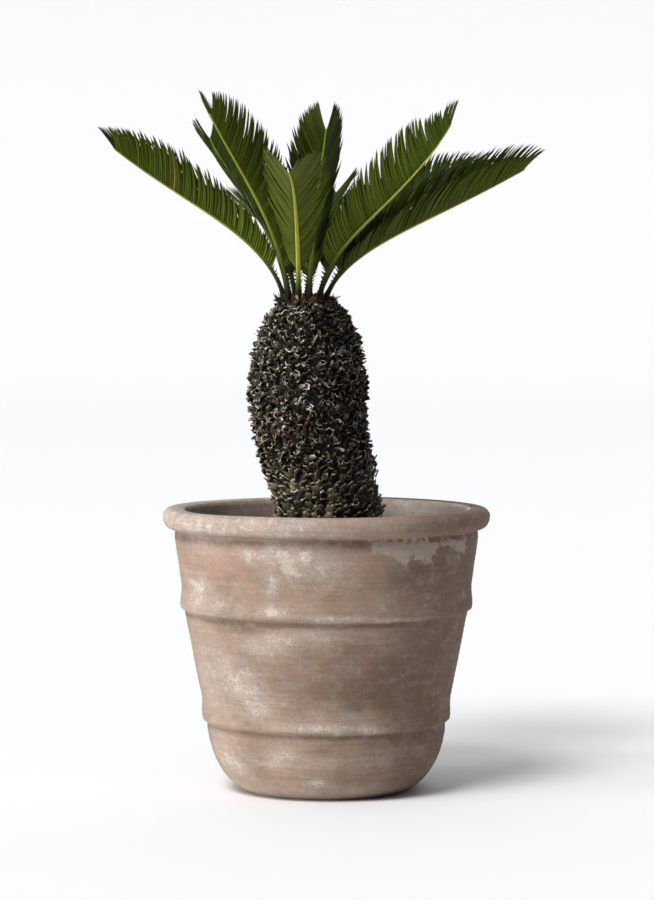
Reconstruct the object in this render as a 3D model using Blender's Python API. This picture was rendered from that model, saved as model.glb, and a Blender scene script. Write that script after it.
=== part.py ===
"""A young sago palm in a round clay pot: pot, soil, trunk, crown bud and eleven fronds.

Metres, +Z up. The origin is the middle of the pot's flat underside. +X is the right-hand side of
the front view and -Y faces the viewer.
"""

import math
from dataclasses import dataclass

import bmesh
import bpy
from mathutils import Vector
from mathutils.bvhtree import BVHTree

# Solids that touch keep this much air between their faces.
CLEARANCE = 0.0003

# Pot, outside.
POT_HEIGHT = 0.312
POT_SIDES = 48
RIM_OUTER_RADIUS = 0.180
RIM_INNER_RADIUS = 0.156
RIM_ROUND = 0.0105
RIM_CREST_DEPTH = 0.0085
RIM_FOOT_HEIGHT = 0.289
RIM_STEPS = 5
NECK_RADIUS = 0.1668
NECK_HEIGHT = 0.279
WAIST_RADIUS = 0.1560
WAIST_HEIGHT = 0.197
BELLY_RADIUS = 0.1315
BELLY_HEIGHT = 0.074
FOOT_RADIUS = 0.083
FOOT_FULLNESS = 1.8
FOOT_STEPS = 6
BAND_BULGE = 0.0042
BAND_RISE = 0.026
UPPER_BAND_FOOT = 0.199
LOWER_BAND_FOOT = 0.076
BAND_STEPS = 5

# Pot, inside.
WALL = 0.013
FLOOR = 0.015

# Soil.
SOIL_HEIGHT = 0.272

# Trunk.
CROWN_HEIGHT = 0.540
TRUNK_FOOT_X = 0.005
TRUNK_CROWN_X = -0.0205
LEAN_ENDS = 0.430
TRUNK_RADIUS = 0.0575
SWELL = 0.0025
SWELL_HEIGHT = 0.435
SWELL_REACH = 0.070
FLARE = 0.006
FLARE_REACH = 0.025
DOME_START = 0.440
DOME_TOP = 0.557
DOME_FULLNESS = 2.2
SCALES_AROUND = 16
SCALE_ROWS = 27
SCALE_STAND = 0.0045

# Crown bud.
BUD_RADIUS = 0.0125
BUD_HEIGHT = 0.030
BUD_SIDES = 12
BUD_STEPS = 5

# Fronds.
CROWN_X = -0.0235
SEAT_RADIUS = 0.0225
PETIOLE_WIDTH = 0.0078
PETIOLE_DEPTH = 0.0066
RIB_TIP_WIDTH = 0.0018
RIB_TIP_DEPTH = 0.0016
ROLLED_BY = 0.20
TWIST_STARTS = 0.60
TWIST_ENDS = 0.95
BARE_SHARE = 0.14
BARE_RINGS = 5
PAIRS = 24
LEAFLET_LENGTH = 0.066
LEAFLET_WIDTH = 0.0066
LEAFLET_THICKNESS = 0.0012
LEAFLET_BEND = 0.48
ROOT_SHARE = 0.58
TRIM_STEPS = (1.0, 0.8, 0.6, 0.42, 0.28)
TRIM_CLEARANCE = 0.0008

CLAY = (0.39, 0.30, 0.25)
SOIL = (0.055, 0.040, 0.028)
BARK = (0.060, 0.050, 0.038)
BUD = (0.24, 0.13, 0.06)
LEAF = (0.055, 0.085, 0.018)


@dataclass
class Frond:
    """How one frond stands: angles in degrees, length in metres.

    heading is the compass turn that it sets off in, from +X towards +Y, and seat the turn of its
    foot round the crown. rise is its slope at the foot and reach its slope at the tip. sweep is
    how far it turns sideways on the way, and haste how early it arches over. fold is how steeply
    its leaflets stand up in a V. roll tips the V to one side all the way, and twist tips it further
    towards the tip. early is the share of its leafy part on which the leaflets grow to full length.
    lean is how much further forward its leaflets point than usual, and blade how much longer they
    are.
    """

    name: str
    heading: float
    seat: float
    rise: float
    reach: float
    length: float
    sweep: float
    haste: float
    fold: float = 46
    roll: float = 0
    twist: float = 0
    early: float = 0.40
    lean: float = 0
    blade: float = 1.0


FRONDS = (
    Frond("frond_left", 194, 190, 78.4, 25.8, 0.284, 37.5, 4.3, 59, -13, 6, 0.60),
    Frond("frond_upper_left", 224.3, 221.8, 81.3, 35.5, 0.272, 26.4, 2.1, 60, -4),
    Frond("frond_front", 268.4, 252.7, 70.3, 6, 0.280, -1, 1.6, 47, -2, 0, 0.28),
    Frond("frond_front_tall", 286, 282.8, 86, 58, 0.206, -4, 2.0, 54, 0, 0, 0.36),
    Frond("frond_upper_right", -24.9, -44.8, 87, 33.1, 0.287, -43.5, 5.7, 52, 0, 32),
    Frond("frond_right", -5.6, -14.1, 72.8, 23.1, 0.287, -35.5, 5.5, 57, 26, 0, 0.46, 9, 1.12),
    Frond("frond_far_right", 24, 22, 62, 11, 0.268, 17, 1.3),
    Frond("frond_back_right", 50, 54, 60, 2, 0.265, 8, 1.5),
    Frond("frond_back", 80, 85, 66, 6, 0.262, 2, 1.6),
    Frond("frond_rear_left", 108, 116, 60, -2, 0.255, -2, 1.5),
    Frond("frond_back_left", 143, 146, 84, 32, 0.260, -36, 2.6),
)


def ease(share):
    """A smooth step from 0 to 1."""
    share = min(1.0, max(0.0, share))
    return share * share * (3 - 2 * share)


def blend(low, high, share):
    """The value that lies this share of the way from low to high."""
    return low + (high - low) * share


def clear_scene():
    """Removes whatever the scene holds."""
    for thing in list(bpy.data.objects):
        bpy.data.objects.remove(thing, do_unlink=True)


def finish(name, color, roughness):
    """A plain material of one colour."""
    material = bpy.data.materials.new(name)
    material.use_nodes = True
    shader = material.node_tree.nodes["Principled BSDF"]
    shader.inputs["Base Color"].default_value = (*color, 1.0)
    shader.inputs["Roughness"].default_value = roughness
    shader.inputs["Metallic"].default_value = 0.0
    return material


def add_object(name, mesh, material):
    """Puts a mesh into the scene as a named object with one material."""
    mesh.materials.append(material)
    thing = bpy.data.objects.new(name, mesh)
    bpy.context.scene.collection.objects.link(thing)
    return thing


def turned(name, outline, sides, material):
    """A solid of revolution from (radius, height) points that start and end on the axis."""
    shape = bmesh.new()
    points = [shape.verts.new((radius, 0.0, height)) for radius, height in outline]
    edges = [shape.edges.new(pair) for pair in zip(points, points[1:])]
    bmesh.ops.spin(
        shape,
        geom=points + edges,
        axis=(0, 0, 1),
        cent=(0, 0, 0),
        angle=math.tau,
        steps=sides,
        use_merge=True,
    )
    bmesh.ops.remove_doubles(shape, verts=shape.verts, dist=1e-6)
    bmesh.ops.recalc_face_normals(shape, faces=shape.faces)
    mesh = bpy.data.meshes.new(name)
    shape.to_mesh(mesh)
    shape.free()
    mesh.shade_smooth()
    mesh.set_sharp_from_angle(angle=math.radians(40))
    return add_object(name, mesh, material)


def foot_radius(height):
    """Radius of the pot's rounded bowl, between the underside and the lower band."""
    drop = 1 - height / BELLY_HEIGHT
    fullness = (1 - drop**FOOT_FULLNESS) ** (1 / FOOT_FULLNESS)
    return blend(FOOT_RADIUS, BELLY_RADIUS, fullness)


def wall_radius(height):
    """Radius of the pot's outside without its rim and bands."""
    if height <= BELLY_HEIGHT:
        return foot_radius(height)
    if height <= WAIST_HEIGHT:
        share = (height - BELLY_HEIGHT) / (WAIST_HEIGHT - BELLY_HEIGHT)
        return blend(BELLY_RADIUS, WAIST_RADIUS, share)
    share = (height - WAIST_HEIGHT) / (NECK_HEIGHT - WAIST_HEIGHT)
    return blend(WAIST_RADIUS, NECK_RADIUS, share)


def band_outline(foot):
    """Points of one raised band, from its top down: it swells slowly and turns in sharply."""
    points = []
    for step in range(BAND_STEPS + 1):
        share = 1 - step / BAND_STEPS
        height = foot + BAND_RISE * share**1.5
        swelling = math.sin(math.pi * share**0.55) if 0 < share < 1 else 0.0
        points.append((wall_radius(height) + BAND_BULGE * swelling, height))
    return points


def rim_outline():
    """Points of the rolled rim, from its inner edge over the top and down to the neck."""
    shoulder = RIM_OUTER_RADIUS - RIM_ROUND
    points = [(RIM_INNER_RADIUS, POT_HEIGHT - 0.0016), (RIM_INNER_RADIUS + 0.005, POT_HEIGHT)]
    for step in range(RIM_STEPS):
        turn = math.radians(blend(82, 0, step / (RIM_STEPS - 1)))
        height = POT_HEIGHT - RIM_CREST_DEPTH * (1 - math.sin(turn))
        points.append((shoulder + RIM_ROUND * math.cos(turn) ** 0.9, height))
    widest = POT_HEIGHT - RIM_CREST_DEPTH
    for step in range(1, RIM_STEPS):
        share = step / (RIM_STEPS - 1)
        inward = (RIM_OUTER_RADIUS - NECK_RADIUS + 0.001) * share**2.1
        height = blend(widest, RIM_FOOT_HEIGHT, math.sin(share * math.pi / 2) ** 0.95)
        points.append((RIM_OUTER_RADIUS - inward, height))
    points.append((NECK_RADIUS, NECK_HEIGHT))
    return points


def inner_radius(height):
    """Radius of the pot's inside."""
    return wall_radius(max(height, FLOOR)) - WALL


def inner_heights():
    """Heights that the pot's inside and the soil both turn on, from the floor to the soil."""
    return [FLOOR, 0.030, 0.050, BELLY_HEIGHT, WAIST_HEIGHT, SOIL_HEIGHT]


def build_pot(material):
    """The clay pot: a thick turned wall with a rolled rim, two bands and a rounded foot."""
    outside = rim_outline()
    outside += band_outline(UPPER_BAND_FOOT)
    outside += band_outline(LOWER_BAND_FOOT)
    for step in range(1, FOOT_STEPS + 1):
        height = BELLY_HEIGHT * (1 - step / FOOT_STEPS) ** 1.6
        outside.append((foot_radius(height), height))
    inside = [(inner_radius(height), height) for height in inner_heights()]
    floor = [(0.0, 0.0), (0.0, FLOOR)]
    turned("pot", [floor[1]] + inside + outside + [floor[0]], POT_SIDES, material)


def build_soil(material):
    """The potting soil, which fills the pot to a few fingers below the rim."""
    heights = inner_heights()
    sides = [(inner_radius(height) - CLEARANCE, height) for height in heights]
    sides[0] = (sides[0][0], FLOOR + CLEARANCE)
    outline = [(0.0, FLOOR + CLEARANCE), *sides, (0.0, SOIL_HEIGHT)]
    turned("soil", outline, POT_SIDES, material)


def trunk_x(height):
    """How far the trunk's middle stands to the side at a height: it leans, then grows upright."""
    share = (height - SOIL_HEIGHT) / (LEAN_ENDS - SOIL_HEIGHT)
    return blend(TRUNK_FOOT_X, TRUNK_CROWN_X, ease(share))


def trunk_radius(height):
    """Radius of the trunk under its scales."""
    swell = SWELL * (1 - ease(abs(height - SWELL_HEIGHT) / SWELL_REACH))
    flare = FLARE * (1 - ease((height - SOIL_HEIGHT) / FLARE_REACH))
    radius = TRUNK_RADIUS + swell + flare
    if height > DOME_START:
        share = (height - DOME_START) / (DOME_TOP - DOME_START)
        radius *= (1 - share**DOME_FULLNESS) ** (1 / DOME_FULLNESS)
    return radius


def build_trunk(material):
    """The leaning trunk, studded with the stumps of old leaves in crossing spirals."""
    bottom = SOIL_HEIGHT + CLEARANCE
    sides = 2 * SCALES_AROUND
    shape = bmesh.new()
    rings = []
    for row in range(SCALE_ROWS):
        share = row / (SCALE_ROWS - 1)
        height = blend(bottom, CROWN_HEIGHT, share)
        edge = row in (0, SCALE_ROWS - 1)
        ring = []
        for side in range(sides):
            turn = math.tau * side / sides
            stands = (side + row) % 2 == 0 and not edge
            radius = trunk_radius(height) + (SCALE_STAND if stands else 0.0)
            x = trunk_x(height) + radius * math.cos(turn)
            ring.append(shape.verts.new((x, radius * math.sin(turn), height)))
        rings.append(ring)
    for low, high in zip(rings, rings[1:]):
        for side in range(sides):
            after = (side + 1) % sides
            shape.faces.new((low[side], low[after], high[after], high[side]))
    shape.faces.new(list(reversed(rings[0])))
    shape.faces.new(rings[-1])
    bmesh.ops.triangulate(shape, faces=shape.faces)
    mesh = bpy.data.meshes.new("trunk")
    shape.to_mesh(mesh)
    shape.free()
    add_object("trunk", mesh, material)


def build_bud(material):
    """The pointed bud of young scales in the middle of the crown."""
    bottom = CROWN_HEIGHT + CLEARANCE
    outline = [(0.0, bottom)]
    for step in range(BUD_STEPS):
        share = step / BUD_STEPS
        radius = BUD_RADIUS * math.cos(share * math.pi / 2) ** 0.8
        outline.append((radius, bottom + BUD_HEIGHT * share))
    outline.append((0.0, bottom + BUD_HEIGHT))
    bud = turned("crown_bud", outline, BUD_SIDES, material)
    bud.location.x = CROWN_X


class Rib:
    """The curved midrib of a frond, with its directions at any share of its length."""

    SAMPLES = 80

    def __init__(self, frond):
        self.frond = frond
        seat = math.radians(frond.seat)
        point = Vector((CROWN_X, 0.0, CROWN_HEIGHT + CLEARANCE))
        point += SEAT_RADIUS * Vector((math.cos(seat), math.sin(seat), 0.0))
        self.points = [point.copy()]
        for sample in range(self.SAMPLES):
            point += self.along((sample + 0.5) / self.SAMPLES) * frond.length / self.SAMPLES
            self.points.append(point.copy())

    def angles(self, share):
        """Heading and slope in radians at a share of the length."""
        arch = 1 - (1 - share) ** self.frond.haste
        slope = blend(self.frond.rise, self.frond.reach, arch)
        return math.radians(self.frond.heading + self.frond.sweep * share), math.radians(slope)

    def along(self, share):
        """Direction of growth."""
        heading, slope = self.angles(share)
        level = math.cos(slope)
        return Vector((level * math.cos(heading), level * math.sin(heading), math.sin(slope)))

    def face(self, share):
        """Direction that the upper side of the frond looks in, tipped by its roll and twist."""
        heading, slope = self.angles(share)
        level = -math.sin(slope)
        up = Vector((level * math.cos(heading), level * math.sin(heading), math.cos(slope)))
        tip = self.frond.roll * ease(share / ROLLED_BY)
        tip += self.frond.twist * ease((share - TWIST_STARTS) / (TWIST_ENDS - TWIST_STARTS))
        turn = math.radians(tip)
        return math.cos(turn) * up + math.sin(turn) * self.along(share).cross(up)

    def point(self, share):
        """Place at a share of the length."""
        place = share * self.SAMPLES
        before = min(int(place), self.SAMPLES - 1)
        return self.points[before].lerp(self.points[before + 1], place - before)

    def corners(self, share):
        """Four corners of the midrib: upper left, lower left, lower right, upper right."""
        width = blend(PETIOLE_WIDTH, RIB_TIP_WIDTH, share**0.7) / 2
        depth = blend(PETIOLE_DEPTH, RIB_TIP_DEPTH, share**0.7) / 2
        up = self.face(share)
        side = self.along(share).cross(up)
        middle = self.point(share)
        found = [middle + across * width * side + lift * depth * up
                 for across, lift in ((1, 1), (1, -1), (-1, -1), (-1, 1))]
        if share == 0.0:
            for corner in found:
                corner.z = CROWN_HEIGHT + CLEARANCE
        return found


def leaflet_length(rib, leafy):
    """Length of a leaflet at a share of the leafy part: short at both ends."""
    rising = blend(0.34, 1.0, math.sin(min(1.0, leafy / rib.frond.early) * math.pi / 2))
    falling = 1 - 0.56 * max(0.0, (leafy - 0.55) / 0.45) ** 1.8
    return LEAFLET_LENGTH * rib.frond.blade * rising * falling


def leaflet_spread(rib, leafy):
    """Angle in radians between the midrib and the root of a leaflet."""
    closing = 16 * max(0.0, (leafy - 0.78) / 0.22) ** 1.4
    return math.radians(blend(62, 43, leafy) - rib.frond.lean - closing)


def leaflet_way(rib, share, leafy, side, bent):
    """Direction of a leaflet at its root, or past its bend: out, forward and up in a V."""
    spread = leaflet_spread(rib, leafy) - math.radians(18 if bent else 0)
    lift = math.radians(rib.frond.fold + (4 if bent else -4))
    along, up = rib.along(share), rib.face(share)
    out = along.cross(up) * side
    return math.cos(spread) * along + math.sin(spread) * (math.cos(lift) * out + math.sin(lift) * up)


def leaflet_points(rib, share, leafy, side, root, trim, grow=0.0):
    """The five points past a leaflet's root: four round its bend, in the root's order, and its tip."""
    length = leaflet_length(rib, leafy) * trim
    first = leaflet_way(rib, share, leafy, side, False)
    second = leaflet_way(rib, share, leafy, side, True)
    along = rib.along(share)
    broad = (along - along.dot(first) * first).normalized()
    flat = first.cross(broad).normalized()
    if flat.dot(rib.face(share)) < 0:
        flat.negate()
    middle = sum(root, Vector()) / 4 + first * length * LEAFLET_BEND
    room = 0.78 * leaf_pitch(rib) * math.sin(leaflet_spread(rib, leafy))
    half_width = min(LEAFLET_WIDTH, room) / 2 + grow
    half_thick = LEAFLET_THICKNESS / 2 + grow
    bend = [middle + forward * half_width * broad + lift * half_thick * flat
            for forward, lift in ((-1, 1), (-1, -1), (1, -1), (1, 1))]
    return bend, middle + second * (length * (1 - LEAFLET_BEND) + grow)


def leaf_pitch(rib):
    """Distance between leaflets along the midrib."""
    return rib.frond.length * (1 - BARE_SHARE) / (PAIRS + 0.5)


def leaf_shares(pair):
    """Where a pair of leaflets begins, ends and has its middle, as shares of the midrib."""
    pitch = (1 - BARE_SHARE) / (PAIRS + 0.5)
    begin = BARE_SHARE + pair * pitch
    end = begin + pitch * ROOT_SHARE
    return begin, end, (begin + end) / 2


def solid_tree(points, faces):
    """A search tree of a piece's faces."""
    return BVHTree.FromPolygons(points, faces)


def rib_tree(rib):
    """A search tree of the bare midrib, slightly swollen."""
    points, faces = [], []
    steps = 24
    for step in range(steps + 1):
        share = step / steps
        corners = rib.corners(share)
        middle = rib.point(share)
        points += [corner + (corner - middle).normalized() * TRIM_CLEARANCE for corner in corners]
    for step in range(steps):
        for corner in range(4):
            after = (corner + 1) % 4
            low, high = 4 * step, 4 * step + 4
            faces.append((low + corner, low + after, high + after, high + corner))
    return solid_tree(points, faces)


def clears(rib, share, leafy, side, root, trim, others):
    """Whether a slightly swollen leaflet misses every other solid."""
    bend, tip = leaflet_points(rib, share, leafy, side, root, trim, grow=TRIM_CLEARANCE)
    way = leaflet_way(rib, share, leafy, side, False)
    start = [corner + way * 0.003 for corner in root]
    faces = [(n, (n + 1) % 4, 4 + (n + 1) % 4, 4 + n) for n in range(4)]
    faces += [(4 + n, 4 + (n + 1) % 4, 8) for n in range(4)]
    leaflet = solid_tree(start + bend + [tip], faces)
    return not any(leaflet.overlap(other) for other in others)


def build_frond(rib, others, material):
    """One frond in one piece: its midrib, and a toothed row of leaflets down either side."""
    points, faces = [], []
    shares = [BARE_SHARE * ring / BARE_RINGS for ring in range(BARE_RINGS)]
    leafy_rings = {}
    for pair in range(PAIRS):
        begin, end, middle = leaf_shares(pair)
        leafy_rings[len(shares)] = (pair, middle)
        shares += [begin, end]
    shares.append(1.0)
    for share in shares:
        points += rib.corners(share)
    for ring in range(len(shares) - 1):
        low, high = 4 * ring, 4 * ring + 4
        faces.append((low + 3, low, high, high + 3))
        faces.append((low + 1, low + 2, high + 2, high + 1))
        for side, (top, bottom) in ((1, (0, 1)), (-1, (3, 2))):
            root = [low + top, low + bottom, high + bottom, high + top]
            trim = 0.0
            if ring in leafy_rings:
                pair, middle = leafy_rings[ring]
                leafy = pair / (PAIRS - 1)
                corners = [points[index] for index in root]
                trim = next((size for size in TRIM_STEPS
                             if clears(rib, middle, leafy, side, corners, size, others)), 0.0)
            if trim == 0.0:
                faces.append(tuple(root) if side > 0 else tuple(reversed(root)))
                continue
            bend, tip = leaflet_points(rib, middle, leafy, side, corners, trim)
            first = len(points)
            points += [*bend, tip]
            for corner in range(4):
                after = (corner + 1) % 4
                quad = (root[corner], root[after], first + after, first + corner)
                point = (first + corner, first + after, first + 4)
                faces += [quad, point] if side > 0 else [quad[::-1], point[::-1]]
    last = 4 * (len(shares) - 1)
    faces.append((3, 2, 1, 0))
    faces.append((last, last + 1, last + 2, last + 3))
    mesh = bpy.data.meshes.new(rib.frond.name)
    mesh.from_pydata([tuple(point) for point in points], [], faces)
    shape = bmesh.new()
    shape.from_mesh(mesh)
    bmesh.ops.triangulate(shape, faces=shape.faces)
    bmesh.ops.recalc_face_normals(shape, faces=shape.faces)
    shape.to_mesh(mesh)
    tree = BVHTree.FromBMesh(shape)
    shape.free()
    add_object(rib.frond.name, mesh, material)
    return tree


def build_fronds(material):
    """Every frond. A leaflet that would touch another frond is shortened, or else left out."""
    ribs = [Rib(frond) for frond in FRONDS]
    bare = [rib_tree(rib) for rib in ribs]
    done = []
    for index, rib in enumerate(ribs):
        done.append(build_frond(rib, done + bare[index + 1:], material))


def main():
    """Builds the whole plant."""
    clear_scene()
    build_pot(finish("clay", CLAY, 0.9))
    build_soil(finish("soil", SOIL, 1.0))
    build_trunk(finish("bark", BARK, 0.9))
    build_bud(finish("bud", BUD, 0.9))
    build_fronds(finish("leaf", LEAF, 0.5))


main()
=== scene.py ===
"""A young sago palm in a weathered clay pot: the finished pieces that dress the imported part.

Metres, +Z up. The origin is the middle of the pot's flat underside, +X is the right-hand side of the
front view and -Y faces the viewer.
"""

import logging
import math
from dataclasses import dataclass, field, fields, replace
from enum import Enum

import bpy
import numpy as np
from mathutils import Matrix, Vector


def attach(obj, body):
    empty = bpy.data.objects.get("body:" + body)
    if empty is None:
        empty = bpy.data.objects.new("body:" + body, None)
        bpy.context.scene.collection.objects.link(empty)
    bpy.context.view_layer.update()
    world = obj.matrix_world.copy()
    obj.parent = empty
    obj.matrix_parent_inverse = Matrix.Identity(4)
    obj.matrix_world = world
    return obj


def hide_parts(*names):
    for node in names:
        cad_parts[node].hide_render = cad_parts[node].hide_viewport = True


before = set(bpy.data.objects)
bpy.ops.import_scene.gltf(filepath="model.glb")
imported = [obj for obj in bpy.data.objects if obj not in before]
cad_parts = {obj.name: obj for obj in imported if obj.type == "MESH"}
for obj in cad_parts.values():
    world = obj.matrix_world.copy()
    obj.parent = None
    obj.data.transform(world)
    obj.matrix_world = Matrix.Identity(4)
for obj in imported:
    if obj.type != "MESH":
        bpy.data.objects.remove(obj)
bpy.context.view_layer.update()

LOG = logging.getLogger("sago_palm")
BODY = "root"
MM = 0.001
CLEARANCE = 0.0003

Socket = bpy.types.NodeSocket
Colour = tuple[float, float, float]


def linear(hex_code: str) -> Colour:
    """Turns an sRGB colour into the linear colour that a shader takes.

    Args:
        hex_code: six hexadecimal digits after a number sign.

    Returns:
        Red, green and blue from 0 to 1.
    """
    channels = [int(hex_code[start:start + 2], 16) / 255 for start in (1, 3, 5)]
    return tuple(c / 12.92 if c <= 0.04045 else ((c + 0.055) / 1.055) ** 2.4 for c in channels)


def ease(share: np.ndarray | float) -> np.ndarray | float:
    """A smooth step from 0 to 1."""
    share = np.clip(share, 0.0, 1.0)
    return share * share * (3 - 2 * share)


def blend(low: float, high: float, share: np.ndarray | float) -> np.ndarray | float:
    """The value that lies this share of the way from low to high."""
    return low + (high - low) * share


def unit(vectors: np.ndarray) -> np.ndarray:
    """The same vectors, one long."""
    return vectors / np.linalg.norm(vectors, axis=-1, keepdims=True)


def turn_about(vectors: np.ndarray, axes: np.ndarray, angles: np.ndarray) -> np.ndarray:
    """Turns vectors about unit axes.

    Args:
        vectors: what is turned, three numbers each.
        axes: one unit axis for each vector.
        angles: radians, with a last dimension of one.

    Returns:
        The turned vectors.
    """
    across = np.cross(axes, vectors)
    along = axes * np.sum(axes * vectors, axis=-1, keepdims=True)
    return vectors * np.cos(angles) + across * np.sin(angles) + along * (1 - np.cos(angles))


def ripple(points: np.ndarray, size: float, seed: int) -> np.ndarray:
    """Smooth unevenness in space, from a few crossing waves.

    Args:
        points: places, three numbers each.
        size: rough width of one swelling, in metres.
        seed: picks another unevenness.

    Returns:
        A height from about -1 to 1 at each place.
    """
    draws = np.random.default_rng(seed)
    total = np.zeros(points.shape[:-1])
    waves = 9
    for _ in range(waves):
        way = unit(draws.normal(size=3)) * math.tau / (size * draws.uniform(1.3, 3.2))
        total += np.sin(points @ way + draws.uniform(0, math.tau))
    return total / math.sqrt(waves)


def add_node(tree: bpy.types.NodeTree, kind: str, links: dict[str | int, object],
             **settings: object) -> bpy.types.Node:
    """Adds a shader node with its settings and links.

    Args:
        tree: the material's node tree.
        kind: the node's type name, without the leading ShaderNode.
        links: a value or another node's output for each input, by its name or place.
        **settings: the node's own properties.

    Returns:
        The new node.
    """
    made = tree.nodes.new("ShaderNode" + kind)
    for name, value in settings.items():
        setattr(made, name, value)
    for name, value in links.items():
        if isinstance(value, Socket):
            tree.links.new(value, made.inputs[name])
        else:
            made.inputs[name].default_value = value
    return made


def ramp_between(node: bpy.types.Node, low: float, high: float) -> Socket:
    """Sets a colour ramp to rise from black at low to white at high, and gives its output."""
    node.color_ramp.elements[0].position = low
    node.color_ramp.elements[1].position = high
    return node.outputs["Color"]


class Finish:
    """A material with a Principled shader, which the finishes below start from."""

    def __init__(self, name: str) -> None:
        self.material = bpy.data.materials.new(name)
        self.material.use_nodes = True
        self.tree = self.material.node_tree
        self.shader = self.tree.nodes["Principled BSDF"]

    def tint(self) -> Socket:
        """The colour that each small shape carries on its points."""
        return add_node(self.tree, "Attribute", {}, attribute_name="tint").outputs["Color"]

    def place(self) -> Socket:
        """Position in metres."""
        return add_node(self.tree, "TexCoord", {}).outputs["Object"]

    def noise(self, where: Socket, size: float, detail: float = 2.0, rough: float = 0.5) -> Socket:
        """A cloudy pattern from 0 to 1 whose patches are about size metres wide."""
        links = {"Vector": where, "Scale": 1 / size, "Detail": detail, "Roughness": rough}
        return add_node(self.tree, "TexNoise", links).outputs["Fac"]

    def spotted(self, where: Socket, size: float, detail: float, rough: float, low: float,
                high: float) -> Socket:
        """The cloudy pattern with its middle range, from low to high, drawn out from black to white."""
        clouds = self.noise(where, size, detail, rough)
        return ramp_between(add_node(self.tree, "ValToRGB", {"Fac": clouds}), low, high)

    def mixed(self, factor: Socket | float, low: object, high: object, how: str = "MIX") -> Socket:
        """Two colours mixed by a factor."""
        mix = add_node(self.tree, "Mix", {0: factor, 6: low, 7: high}, data_type="RGBA", blend_type=how)
        return mix.outputs[2]

    def value(self, how: str, *terms: object) -> Socket:
        """A sum on numbers, kept between 0 and 1."""
        links = dict(enumerate(terms))
        return add_node(self.tree, "Math", links, operation=how, use_clamp=True).outputs[0]

    def bump(self, height: Socket, strength: float, depth: float) -> None:
        """Raises the surface by a pattern, depth metres at most."""
        links = {"Height": height, "Strength": strength, "Distance": depth}
        made = add_node(self.tree, "Bump", links)
        self.tree.links.new(made.outputs["Normal"], self.shader.inputs["Normal"])

    def set(self, **sockets: object) -> None:
        """Gives the shader its colour, roughness and so on."""
        for name, value in sockets.items():
            socket = self.shader.inputs[name.replace("_", " ").title().replace("Ior", "IOR")]
            if isinstance(value, Socket):
                self.tree.links.new(value, socket)
            else:
                socket.default_value = value


def rgba(colour: Colour) -> tuple[float, float, float, float]:
    """The colour with full cover."""
    return (*colour, 1.0)


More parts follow.
